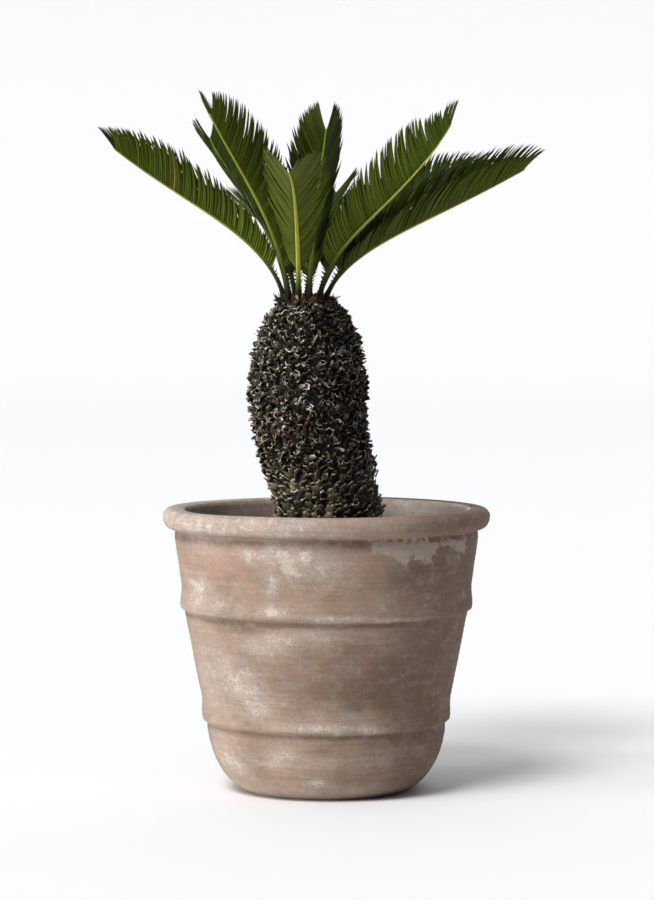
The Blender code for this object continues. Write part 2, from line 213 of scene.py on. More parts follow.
@dataclass(frozen=True)
class AgedTerracotta:
    """Thrown, unglazed red earthenware that years of watering have greyed.

    It is quite matte. Lime from the water blooms through it in pale ragged clouds, the clay shows
    warmer where it is clean, and sandy grit speckles it all over.
    """

    clay: str = "#967F70"
    olive: str = "#7F705F"
    rosy: str = "#957467"
    tan: str = "#A68B70"
    # The stain colour, also used for pits and for painted shade.
    damp: str = "#5B4435"
    warm: str = "#A27560"
    lime: str = "#C6BAB0"
    chalk: str = "#DAD1C7"
    roughness: float = 0.90
    cloud_mm: float = 60.0
    mottle_mm: float = 24.0
    streak_mm: float = 34.0
    blotch_mm: float = 8.0
    speck_mm: float = 2.2
    grit_mm: float = 1.2  # real grit is about 0.5 mm, drawn coarser so that it shows

    def layer(self, finish: Finish, body: Socket, parts: list[tuple[Socket, float]], span: tuple[float, float],
              cover: float, colour: str) -> tuple[Socket, Socket]:
        """Lays a ragged coat over the clay where a weighted sum of patterns is high.

        Args:
            finish: the material that is built.
            body: the colour so far.
            parts: the patterns with their weights.
            span: the sum at which the coat starts and the sum at which it is whole.
            cover: how much of the clay the whole coat hides.
            colour: the coat's colour.

        Returns:
            The new colour, and where the coat lies.
        """
        total = finish.value("MULTIPLY", parts[0][0], parts[0][1])
        for pattern, weight in parts[1:]:
            total = finish.value("MULTIPLY_ADD", pattern, weight, total)
        where = ramp_between(add_node(finish.tree, "ValToRGB", {"Fac": total}), *span)
        return finish.mixed(finish.value("MULTIPLY", where, cover), body, rgba(linear(colour))), where

    def make(self) -> bpy.types.Material:
        """Builds the material."""
        finish = Finish("aged_terracotta")
        place = finish.place()
        clouds = finish.spotted(place, self.cloud_mm * MM, 5.0, 0.6, 0.38, 0.64)
        mottle = finish.spotted(place, self.mottle_mm * MM, 9.0, 0.72, 0.34, 0.66)
        blotch = finish.spotted(place, self.blotch_mm * MM, 5.0, 0.62, 0.40, 0.60)
        specks = finish.spotted(place, self.speck_mm * MM, 3.0, 0.6, 0.52, 0.62)
        pits = finish.spotted(place, self.speck_mm * 1.3 * MM, 3.0, 0.6, 0.56, 0.64)
        shifted = add_node(finish.tree, "Mapping", {"Vector": place, "Location": (0.37, 0.81, 0.53)}).outputs[0]
        flush = finish.spotted(shifted, 0.7 * self.mottle_mm * MM, 6.0, 0.62, 0.44, 0.62)
        sandy = finish.spotted(shifted, 1.3 * self.mottle_mm * MM, 6.0, 0.62, 0.48, 0.62)
        grit = finish.noise(place, self.grit_mm * MM, 2.0, 0.6)
        slanted = add_node(finish.tree, "Mapping", {"Vector": place, "Rotation": (0.5, 0.9, 0.2),
                                                    "Scale": (1.0, 1.0, 3.2)})
        streaks = finish.spotted(slanted.outputs[0], self.streak_mm * MM, 8.0, 0.70, 0.34, 0.66)
        rings = add_node(finish.tree, "Mapping", {"Vector": place, "Scale": (3.0, 3.0, 110.0)})
        throwing = finish.noise(rings.outputs[0], 0.25, 4.0, 0.6)
        marks = add_node(finish.tree, "Attribute", {}, attribute_name="marks")
        parts = add_node(finish.tree, "SeparateColor", {"Color": marks.outputs["Color"]})
        pale, ruddy, stain_and_shade_marks = parts.outputs[0], parts.outputs[1], parts.outputs[2]
        spill_and_light_marks = marks.outputs["Alpha"]

        body = finish.mixed(clouds, rgba(linear(self.clay)), rgba(linear(self.olive)))
        body = finish.mixed(finish.value("MULTIPLY", flush, 0.42), body, rgba(linear(self.rosy)))
        body = finish.mixed(finish.value("MULTIPLY", sandy, 0.34), body, rgba(linear(self.tan)))
        warmth = finish.value("MULTIPLY_ADD", ruddy, 0.70, finish.value("MULTIPLY", streaks, 0.08))
        body = finish.mixed(warmth, body, rgba(linear(self.warm)))
        # The stain coat also lays painted shade, down the right side and under the rim and bands; the lime, chalk
        # and spill coats also lay painted light, on the rim's left and the inside right wall.
        body, _ = self.layer(finish, body, [(stain_and_shade_marks, 0.74), (streaks, 0.15), (mottle, 0.11)], (0.12, 0.95),
                             0.80, self.damp)
        body, film = self.layer(finish, body, [(pale, 0.42), (mottle, 0.26), (streaks, 0.24), (blotch, 0.08)],
                                (0.26, 0.84), 0.50, self.lime)
        body, chalk = self.layer(finish, body, [(pale, 0.34), (mottle, 0.22), (blotch, 0.32), (specks, 0.12)],
                                 (0.64, 0.76), 0.24, self.chalk)
        body, spill = self.layer(finish, body, [(spill_and_light_marks, 0.48), (blotch, 0.26), (mottle, 0.20), (specks, 0.06)],
                                 (0.42, 0.52), 0.36, self.lime)
        dust = finish.value("MULTIPLY", specks, finish.value("MULTIPLY_ADD", film, 0.16, 0.02))
        body = finish.mixed(dust, body, rgba(linear(self.chalk)))
        holes = finish.value("MULTIPLY", pits, finish.value("MULTIPLY_ADD", film, 0.30, 0.12))
        body = finish.mixed(holes, body, rgba(linear(self.damp)))
        lines = ramp_between(add_node(finish.tree, "ValToRGB", {"Fac": throwing}), 0.30, 0.72)
        body = finish.mixed(0.09, body, lines, "OVERLAY")
        sand = ramp_between(add_node(finish.tree, "ValToRGB", {"Fac": grit}), 0.28, 0.72)
        body = finish.mixed(0.17, body, sand, "OVERLAY")
        finish.set(base_color=body, roughness=self.roughness, metallic=0.0)
        coats = finish.value("MULTIPLY_ADD", chalk, 0.25, finish.value("MULTIPLY", spill, 0.12))
        coats = finish.value("MULTIPLY_ADD", grit, 0.5, coats)
        finish.bump(finish.value("MULTIPLY_ADD", throwing, 0.3, coats), 0.5, 0.6 * MM)
        return finish.material


@dataclass(frozen=True)
class DryTissue:
    """Dead plant tissue, such as old leaf bases and bud scales: fibrous, cracked and quite matte."""

    name: str
    roughness: float = 0.8
    fibre_mm: float = 1.6
    depth_mm: float = 0.5

    def make(self) -> bpy.types.Material:
        """Builds the material."""
        finish = Finish(self.name)
        place = finish.place()
        coarse = finish.noise(place, self.fibre_mm * 4 * MM, 3.0, 0.6)
        fine = finish.noise(place, self.fibre_mm * MM, 3.0, 0.65)
        shade = ramp_between(add_node(finish.tree, "ValToRGB", {"Fac": fine}), 0.25, 0.75)
        body = finish.mixed(0.7, finish.tint(), shade, "OVERLAY")
        worn = finish.value("MULTIPLY", coarse, 0.3)
        body = finish.mixed(worn, body, rgba(linear("#6B6155")), "SOFT_LIGHT")
        finish.set(base_color=body, roughness=self.roughness, metallic=0.0)
        finish.shader.inputs["Specular IOR Level"].default_value = 0.28
        finish.bump(fine, 0.5, self.depth_mm * MM)
        return finish.material


@dataclass(frozen=True)
class LeatheryLeaf:
    """Living sago leaf: a thick waxy skin that is dark and glossy above, paler and duller below."""

    name: str = "leathery_leaf"
    roughness: float = 0.42
    vein_mm: float = 2.5
    wax: float = 0.05

    def make(self) -> bpy.types.Material:
        """Builds the material."""
        finish = Finish(self.name)
        place = finish.place()
        cells = finish.noise(place, self.vein_mm * MM, 3.0, 0.6)
        shade = ramp_between(add_node(finish.tree, "ValToRGB", {"Fac": cells}), 0.2, 0.8)
        body = finish.mixed(0.18, finish.tint(), shade, "OVERLAY")
        gloss = finish.value("MULTIPLY_ADD", cells, 0.16, self.roughness - 0.08)
        finish.set(base_color=body, roughness=gloss, metallic=0.0, ior=1.45)
        finish.shader.inputs["Specular IOR Level"].default_value = self.wax
        finish.bump(cells, 0.12, 0.2 * MM)
        return finish.material


@dataclass(frozen=True)
class DampSoil:
    """Peaty potting soil, dark and crumbly, with nothing shiny in it."""

    crumb_mm: float = 2.5

    def make(self) -> bpy.types.Material:
        """Builds the material."""
        finish = Finish("damp_soil")
        place = finish.place()
        crumbs = finish.noise(place, self.crumb_mm * MM, 5.0, 0.7)
        shade = ramp_between(add_node(finish.tree, "ValToRGB", {"Fac": crumbs}), 0.25, 0.75)
        body = finish.mixed(0.7, finish.tint(), shade, "OVERLAY")
        finish.set(base_color=body, roughness=0.96, metallic=0.0)
        finish.bump(crumbs, 0.8, 1.2 * MM)
        return finish.material


@dataclass(frozen=True)
class StudioPaper:
    """Matte white background paper."""

    floor: float = 0.885
    wall: float = 0.700
    wall_starts: float = 0.0
    wall_reached: float = 11.5

    def make(self) -> bpy.types.Material:
        """Builds the material."""
        finish = Finish("studio_paper")
        place = add_node(finish.tree, "SeparateXYZ", {"Vector": finish.place()})
        span = {"Value": place.outputs["Y"], "From Min": self.wall_starts, "From Max": self.wall_reached,
                "To Min": self.floor, "To Max": self.wall}
        shade = add_node(finish.tree, "MapRange", span)
        finish.set(base_color=shade.outputs[0], roughness=0.9, metallic=0.0)
        finish.shader.inputs["Specular IOR Level"].default_value = 0.1
        return finish.material


class Sheaf:
    """Collects many small shapes of one kind and joins them into one mesh.

    Each point carries a tint, so that one material serves shapes of many colours.
    """

    def __init__(self) -> None:
        self.points: list[np.ndarray] = []
        self.tints: list[np.ndarray] = []
        self.faces: list[tuple[int, ...]] = []
        self.count = 0

    def add(self, points: np.ndarray, tints: np.ndarray, faces: list[tuple[int, ...]]) -> None:
        """Adds one mesh.

        Args:
            points: its places, one row each.
            tints: its linear colours, one row for each point.
            faces: rows of point numbers that start from 0.
        """
        self.points.append(points)
        self.tints.append(tints)
        self.faces += [tuple(self.count + corner for corner in face) for face in faces]
        self.count += len(points)

    def add_sweeps(self, rings: np.ndarray, tips: np.ndarray, tints: np.ndarray) -> None:
        """Adds closed shapes that each run through rings of points to a tip.

        Args:
            rings: places, by shape, ring, point of the ring and axis.
            tips: the last point of each shape.
            tints: colours, by shape, ring, point of the ring and channel.
        """
        shapes, ring_count, sides = rings.shape[:3]
        each = ring_count * sides + 1
        points = np.concatenate([rings.reshape(shapes, -1, 3), tips[:, None]], axis=1)
        colours = np.concatenate([tints.reshape(shapes, -1, 3), tints[:, -1:, 0]], axis=1)
        pattern = [tuple(reversed(range(sides)))]
        for ring in range(ring_count - 1):
            for side in range(sides):
                after = (side + 1) % sides
                low, high = ring * sides, (ring + 1) * sides
                pattern.append((low + side, low + after, high + after, high + side))
        last = (ring_count - 1) * sides
        pattern += [(last + side, last + (side + 1) % sides, each - 1) for side in range(sides)]
        faces = [tuple(shape * each + corner for corner in face)
                 for shape in range(shapes) for face in pattern]
        self.add(points.reshape(-1, 3), colours.reshape(-1, 3), faces)

    def add_shells(self, outer: np.ndarray, inner: np.ndarray, tints: np.ndarray) -> None:
        """Adds closed thin shells, each between two grids of points.

        Args:
            outer: places on one side, by shape, row, column and axis.
            inner: places on the other side, laid out the same.
            tints: colours of both sides, by side, shape, row, column and channel.
        """
        shapes, rows, columns = outer.shape[:3]
        each = 2 * rows * columns
        points = np.concatenate([outer.reshape(shapes, -1, 3), inner.reshape(shapes, -1, 3)], axis=1)
        colours = np.concatenate([side.reshape(shapes, -1, 3) for side in tints], axis=1)
        below = rows * columns
        pattern = []
        for row in range(rows - 1):
            for column in range(columns - 1):
                first = row * columns + column
                quad = (first, first + 1, first + columns + 1, first + columns)
                pattern += [quad, tuple(below + corner for corner in reversed(quad))]
        edge = [*range(columns), *range(2 * columns - 1, below, columns)]
        edge += [*range(below - 2, below - columns - 1, -1), *range(below - 2 * columns, 0, -columns)]
        for start, end in zip(edge, edge[1:] + edge[:1]):
            pattern.append((end, start, below + start, below + end))
        faces = [tuple(shape * each + corner for corner in face)
                 for shape in range(shapes) for face in pattern]
        self.add(points.reshape(-1, 3), colours.reshape(-1, 3), faces)

    def build(self, name: str, material: bpy.types.Material, crease: float = 180.0) -> bpy.types.Object:
        """Makes the object.

        Args:
            name: the piece's name.
            material: its one material.
            crease: edges that bend more than this many degrees are drawn sharp.

        Returns:
            The new object, in the scene.
        """
        mesh = bpy.data.meshes.new(name)
        points, tints = np.concatenate(self.points), np.concatenate(self.tints)
        mesh.from_pydata(points.tolist(), [], self.faces)
        layer = mesh.color_attributes.new("tint", "FLOAT_COLOR", "POINT")
        colours = np.ones((len(points), 4), np.float32)
        colours[:, :3] = tints
        layer.data.foreach_set("color", colours.ravel())
        mesh.shade_smooth()
        if crease < 180:
            mesh.set_sharp_from_angle(angle=math.radians(crease))
        return place_piece(name, mesh, material)


def place_piece(name: str, mesh: bpy.types.Mesh, material: bpy.types.Material) -> bpy.types.Object:
    """Puts a mesh into the scene as an object with one material."""
    mesh.materials.append(material)
    piece = bpy.data.objects.new(name, mesh)
    bpy.context.scene.collection.objects.link(piece)
    return piece


def hand_over(piece: bpy.types.Object, slot: str, *nodes: str) -> bpy.types.Object:
    """Ties a piece to the part's body and hides the solids that it stands for.

    Args:
        piece: a finished piece.
        slot: the record's material slot, which is not used.
        *nodes: names of the solids that it replaces.

    Returns:
        The same piece.
    """
    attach(piece, BODY)
    if nodes:
        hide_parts(*nodes)
    LOG.info("%s: %d faces", piece.name, len(piece.data.polygons))
    return piece


class Mark(Enum):
    """What a mark on the clay is: weathering, where lime and spill also carry painted light and stain also carries
    painted shade.
    """

    LIME = 0
    RUDDY = 1
    STAIN_AND_SHADE = 2
    SPILL_AND_LIGHT = 3


@dataclass(frozen=True)
class Patch:
    """One weathered patch on the pot: turn in degrees right of the front, the rest in metres."""

    mark: Mark
    turn: float
    height: float
    wide: float
    tall: float
    strength: float = 1.0


PATCHES = (
    Patch(Mark.SPILL_AND_LIGHT, 20, 0.282, 0.029, 0.010, 0.9),
    Patch(Mark.SPILL_AND_LIGHT, 26, 0.277, 0.026, 0.019, 0.9),
    Patch(Mark.SPILL_AND_LIGHT, 30, 0.267, 0.015, 0.015, 0.9),
    Patch(Mark.SPILL_AND_LIGHT, 35, 0.277, 0.031, 0.016, 0.9),
    Patch(Mark.SPILL_AND_LIGHT, 41, 0.273, 0.020, 0.022, 0.9),
    Patch(Mark.SPILL_AND_LIGHT, 51, 0.280, 0.041, 0.009, 0.9),
    Patch(Mark.SPILL_AND_LIGHT, 62, 0.274, 0.021, 0.020, 0.8),
    Patch(Mark.SPILL_AND_LIGHT, -16, 0.266, 0.018, 0.028, 0.85),
    Patch(Mark.SPILL_AND_LIGHT, -12, 0.256, 0.022, 0.015, 0.7),
    Patch(Mark.SPILL_AND_LIGHT, -21, 0.242, 0.008, 0.026, 0.7),
    Patch(Mark.SPILL_AND_LIGHT, -29, 0.272, 0.019, 0.011, 0.8),
    Patch(Mark.SPILL_AND_LIGHT, -20, 0.210, 0.022, 0.009, 0.8),
    Patch(Mark.SPILL_AND_LIGHT, -13, 0.214, 0.013, 0.009, 0.7),
    Patch(Mark.SPILL_AND_LIGHT, -58, 0.229, 0.024, 0.011, 0.9),
    Patch(Mark.SPILL_AND_LIGHT, -63, 0.235, 0.021, 0.008, 0.8),
    Patch(Mark.LIME, -13, 0.268, 0.054, 0.036, 0.8),
    Patch(Mark.LIME, -2, 0.253, 0.063, 0.047, 0.55),
    Patch(Mark.LIME, -20, 0.276, 0.020, 0.019, 0.8),
    Patch(Mark.LIME, -30, 0.270, 0.029, 0.019, 0.8),
    Patch(Mark.LIME, -21, 0.239, 0.014, 0.036, 0.8),
    Patch(Mark.LIME, -59, 0.230, 0.054, 0.024),
    Patch(Mark.LIME, -48, 0.213, 0.112, 0.017, 0.6),
    Patch(Mark.LIME, -20, 0.210, 0.034, 0.013, 0.9),
    Patch(Mark.LIME, -0, 0.203, 0.047, 0.007),
    Patch(Mark.LIME, 10, 0.205, 0.032, 0.006, 0.9),
    Patch(Mark.LIME, 25, 0.201, 0.047, 0.006, 0.8),
    Patch(Mark.LIME, 37, 0.200, 0.032, 0.006, 0.6),
    Patch(Mark.LIME, -25, 0.173, 0.047, 0.024, 0.9),
    Patch(Mark.LIME, -18, 0.183, 0.045, 0.015, 0.7),
    Patch(Mark.LIME, 1, 0.184, 0.059, 0.015, 0.75),
    Patch(Mark.LIME, 30, 0.171, 0.049, 0.015, 0.45),
    Patch(Mark.LIME, -46, 0.141, 0.068, 0.061, 0.65),
    Patch(Mark.LIME, -37, 0.123, 0.048, 0.032, 0.6),
    Patch(Mark.LIME, -33, 0.104, 0.033, 0.022, 0.9),
    Patch(Mark.LIME, -6, 0.084, 0.075, 0.010),
    Patch(Mark.LIME, 15, 0.083, 0.055, 0.010, 0.8),
    Patch(Mark.LIME, -20, 0.052, 0.034, 0.015),
    Patch(Mark.LIME, -62, 0.052, 0.070, 0.060, 0.6),
    Patch(Mark.LIME, -66, 0.140, 0.070, 0.110, 0.5),
    Patch(Mark.LIME, -29, 0.043, 0.029, 0.013, 0.8),
    Patch(Mark.LIME, -55, 0.037, 0.057, 0.024, 0.6),
    Patch(Mark.LIME, -5, 0.023, 0.024, 0.011),
    Patch(Mark.LIME, -2, 0.045, 0.043, 0.019, 0.5),
    Patch(Mark.LIME, 26, 0.047, 0.048, 0.022, 0.55),
    Patch(Mark.LIME, 52, 0.051, 0.053, 0.033, 0.5),
    Patch(Mark.LIME, 10, 0.098, 0.065, 0.017, 0.5),
    Patch(Mark.LIME, -50, 0.279, 0.066, 0.019, 0.6),
    Patch(Mark.RUDDY, -35, 0.263, 0.047, 0.024, 0.55),
    Patch(Mark.RUDDY, 14, 0.263, 0.026, 0.019, 0.45),
    Patch(Mark.RUDDY, -14, 0.281, 0.015, 0.007, 0.5),
    Patch(Mark.RUDDY, -8, 0.227, 0.043, 0.023, 0.5),
    Patch(Mark.RUDDY, -28, 0.225, 0.041, 0.021, 0.35),
    Patch(Mark.RUDDY, 15, 0.151, 0.037, 0.024, 0.45),
    Patch(Mark.RUDDY, -48, 0.252, 0.042, 0.043, 0.35),
    Patch(Mark.RUDDY, -41, 0.186, 0.085, 0.011, 0.3),
    Patch(Mark.RUDDY, -47, 0.066, 0.048, 0.033, 0.3),
    Patch(Mark.RUDDY, 55, 0.158, 0.056, 0.043, 0.3),
    Patch(Mark.STAIN_AND_SHADE, -5, 0.284, 0.047, 0.010),
    Patch(Mark.STAIN_AND_SHADE, -30, 0.165, 0.110, 0.120, 0.30),
    Patch(Mark.STAIN_AND_SHADE, 9, 0.284, 0.043, 0.009, 0.6),
    Patch(Mark.STAIN_AND_SHADE, 1, 0.229, 0.038, 0.021, 0.6),
    Patch(Mark.STAIN_AND_SHADE, 38, 0.246, 0.094, 0.030, 0.65),
    Patch(Mark.STAIN_AND_SHADE, 56, 0.218, 0.076, 0.024, 0.5),
    Patch(Mark.STAIN_AND_SHADE, 5, 0.160, 0.096, 0.064, 0.5),
    Patch(Mark.STAIN_AND_SHADE, 28, 0.136, 0.108, 0.075, 0.55),
    Patch(Mark.STAIN_AND_SHADE, 10, 0.116, 0.097, 0.043, 0.5),
    Patch(Mark.STAIN_AND_SHADE, -11, 0.127, 0.065, 0.054, 0.35),
    Patch(Mark.STAIN_AND_SHADE, -37, 0.191, 0.080, 0.010, 0.6),
    Patch(Mark.STAIN_AND_SHADE, 2, 0.063, 0.075, 0.017, 0.4),
    Patch(Mark.STAIN_AND_SHADE, 46, 0.111, 0.077, 0.043, 0.4),
    Patch(Mark.STAIN_AND_SHADE, 38, 0.066, 0.081, 0.017, 0.4),
    Patch(Mark.SPILL_AND_LIGHT, 118, 0.270, 0.060, 0.030),
    Patch(Mark.SPILL_AND_LIGHT, -130, 0.272, 0.070, 0.022),
    Patch(Mark.SPILL_AND_LIGHT, 172, 0.268, 0.050, 0.032),
    Patch(Mark.LIME, 130, 0.225, 0.080, 0.060, 0.8),
    Patch(Mark.LIME, 175, 0.140, 0.090, 0.070, 0.7),
    Patch(Mark.LIME, -125, 0.180, 0.070, 0.080, 0.8),
    Patch(Mark.LIME, 150, 0.040, 0.080, 0.040, 0.8),
    Patch(Mark.LIME, 95, 0.090, 0.070, 0.050, 0.6),
    Patch(Mark.RUDDY, 165, 0.235, 0.060, 0.040, 0.5),
    Patch(Mark.STAIN_AND_SHADE, -150, 0.100, 0.100, 0.050, 0.5),
)


@dataclass
class ClayPot:
    """The thrown pot: a rolled rim, two raised bands and a rounded foot."""

    height: float = 0.312
    rim_outer: float = 0.180
    rim_inner: float = 0.156
    neck_radius: float = 0.1668
    neck_height: float = 0.279
    waist_radius: float = 0.1560
    waist_height: float = 0.197
    belly_radius: float = 0.1315
    belly_height: float = 0.074
    foot_radius: float = 0.083
    foot_fullness: float = 1.8
    band_bulge: float = 0.0040
    band_rise: float = 0.030
    upper_band: float = 0.199
    lower_band: float = 0.076
    wall: float = 0.013
    inside_floor: float = 0.262
    sides: int = 288
    inside_rows: int = 16

    def wall_radius(self, height: float) -> float:
        """Radius of the outside at a height, without its rim and bands."""
        if height <= self.belly_height:
            drop = 1 - height / self.belly_height
            fullness = (1 - drop**self.foot_fullness) ** (1 / self.foot_fullness)
            return blend(self.foot_radius, self.belly_radius, fullness)
        if height <= self.waist_height:
            share = (height - self.belly_height) / (self.waist_height - self.belly_height)
            return blend(self.belly_radius, self.waist_radius, share)
        share = (height - self.waist_height) / (self.neck_height - self.waist_height)
        return blend(self.waist_radius, self.neck_radius, share)

    def band_radius(self, height: float) -> float:
        """How far a band stands out at a height: it swells slowly and turns in sharply below."""
        out = 0.0
        for foot in (self.upper_band, self.lower_band):
            share = (height - foot) / self.band_rise
            if 0 < share < 1:
                out += self.band_bulge * ease(share / 0.11) * (1 - ease((share - 0.12) / 0.88))
        return out

    def outline(self) -> np.ndarray:
        """Radius and height of the whole section, from the inside over the rim to the underside."""
        rows = []
        for share in np.linspace(0, 1, 14):
            height = blend(self.inside_floor, self.height - 0.006, share)
            rows.append((self.wall_radius(min(height, self.neck_height)) - self.wall + 0.002 * share, height))
        rim_high, rim_low = self.height, self.neck_height + 0.0100
        for share in np.linspace(0, 1, 9):
            drop = 0.0016 * (1 - share) ** 3
            rows.append((blend(self.rim_inner, self.rim_outer - 0.0105, share), rim_high - drop))
        for turn in np.radians(np.linspace(82, 2, 13)):
            rows.append((self.rim_outer - 0.0105 + 0.0105 * math.cos(turn) ** 0.9,
                         rim_high - 0.0085 * (1 - math.sin(turn))))
        widest = rim_high - 0.0085
        for share in np.linspace(0.08, 1, 14):
            inward = (self.rim_outer - self.neck_radius + 0.0010) * share**2.1
            rows.append((self.rim_outer - inward, blend(widest, rim_low, math.sin(share * math.pi / 2) ** 0.95)))
        neck = self.neck_height + 0.0060
        rows.append((self.neck_radius - 0.0009, self.neck_height + 0.0078))
        for height in np.linspace(neck, self.belly_height, 118):
            rows.append((self.wall_radius(min(height, self.neck_height)) + self.band_radius(height), height))
        for share in np.linspace(0.04, 1, 26):
            height = self.belly_height * (1 - share) ** 1.6
            rows.append((self.wall_radius(height) + self.band_radius(height), height))
        rows += [(self.foot_radius * share, 0.0) for share in (0.985, 0.9, 0.6, 0.3)]
        return np.array(rows)

    def marks_at(self, turns: np.ndarray, rows: np.ndarray) -> np.ndarray:
        """Strength of each kind of mark over the surface.

        Args:
            turns: angle of each column, in degrees right of the front.
            rows: radius and height of each row.

        Returns:
            Four strengths from 0 to 1, by row and column.
        """
        marks = np.zeros((len(rows), len(turns), 4))
        height, radius = rows[:, 1][:, None], rows[:, 0][:, None]
        for patch in PATCHES:
            aside = np.radians((turns[None] - patch.turn + 180) % 360 - 180) * radius
            apart = (aside / patch.wide * 2) ** 2 + ((height - patch.height) / patch.tall * 2) ** 2
            marks[..., patch.mark.value] += patch.strength * np.exp(-apart * 0.9)
        patchy = 0.55 + 0.45 * np.sin(np.radians(turns * 2 + 70)) * np.sin(np.radians(turns * 5))
        edge = np.zeros_like(height)
        for foot in (self.upper_band, self.lower_band):
            edge += np.exp(-(((height - foot - 0.0030) / 0.0030) ** 2))
        marks[..., Mark.LIME.value] += 0.52 * edge * patchy[None]
        # Lime bloom on the rim, with more of it on the left as painted light.
        painted_light_left = blend(1.0, 0.22, ease((np.sin(np.radians(turns)) + 0.35) / 0.70))
        marks[..., Mark.LIME.value] += painted_light_left[None] * ease((height - self.height + 0.026) / 0.010)
        marks[..., Mark.LIME.value] += 0.5 * np.exp(-(((height - 0.010) / 0.010) ** 2))
        # Painted shade: dark lines just under the rim and under each band's lip, in the stain colour.
        under = np.exp(-(((height - self.neck_height - 0.004) / 0.005) ** 2))
        for foot in (self.upper_band, self.lower_band):
            under = under + np.exp(-(((height - foot + 0.0025) / 0.0030) ** 2))
        marks[..., Mark.STAIN_AND_SHADE.value] += 0.9 * under
        # Painted shade: the outside darkens towards the right, away from the light, in the stain colour, and its
        # lime thins there.
        damp = 1.1 * ease((np.sin(np.radians(turns)) - 0.22) / 0.70)
        marks[self.inside_rows:, :, Mark.STAIN_AND_SHADE.value] += damp[None]
        marks[self.inside_rows:, :, Mark.LIME.value] -= 0.35 * damp[None]
        # Painted light: the inside right wall, which faces the light, is paled with lime and spill.
        painted_light_inside = ease(np.sin(np.radians(turns)) * 2)[None]
        marks[:self.inside_rows, :, Mark.LIME.value] += 1.3 * painted_light_inside
        marks[:self.inside_rows, :, Mark.SPILL_AND_LIGHT.value] += 0.9 * painted_light_inside
        marks[:self.inside_rows, :, Mark.RUDDY.value] += 0.35
        return np.clip(marks, 0, 1)

    def build(self) -> bpy.types.Object:
        """Turns the outline, makes it slightly uneven as thrown clay is, and dresses it."""
        rows = self.outline()
        turns = np.linspace(0, 360, self.sides, endpoint=False)
        angle = np.radians(turns - 90)[None]
        radius = np.repeat(rows[:, :1], self.sides, axis=1)
        height = np.repeat(rows[:, 1:], self.sides, axis=1)
        points = np.stack([radius * np.cos(angle), radius * np.sin(angle), height], axis=-1)
        uneven = 0.00045 * ripple(points, 0.075, 3) + 0.00022 * ripple(points, 0.020, 4)
        uneven += 0.00016 * np.sin(height * math.tau / 0.0062 + 1.5 * ripple(points, 0.12, 5))
        outer = ease((radius - self.foot_radius * 0.9) / 0.02)
        edge = np.zeros_like(height)
        for foot in (self.upper_band, self.lower_band):
            edge += np.exp(-(((height - foot - 0.003) / 0.004) ** 2))
        chips = np.clip(ripple(points, 0.013, 6) - 0.9, 0, 1) * edge
        radius = radius + (uneven - 0.0011 * chips) * outer
        height = height + 0.0005 * ripple(points, 0.09, 7) * ease((height - 0.25) / 0.05)
        points = np.stack([radius * np.cos(angle), radius * np.sin(angle), height], axis=-1)
        points = points.reshape(-1, 3)
        faces = []
        for row in range(len(rows) - 1):
            low, high = row * self.sides, (row + 1) * self.sides
            for side in range(self.sides):
                after = (side + 1) % self.sides
                faces.append((low + side, high + side, high + after, low + after))
        faces.append(tuple((len(rows) - 1) * self.sides + side for side in range(self.sides)))
        mesh = bpy.data.meshes.new("thrown_pot")
        mesh.from_pydata(points.tolist(), [], faces)
        marks = self.marks_at(turns, rows).reshape(-1, 4).astype(np.float32)
        layer = mesh.color_attributes.new("marks", "FLOAT_COLOR", "POINT")
        layer.data.foreach_set("color", marks.ravel())
        mesh.shade_smooth()
        piece = place_piece("thrown_pot", mesh, AgedTerracotta().make())
        return hand_over(piece, "clay", "pot")


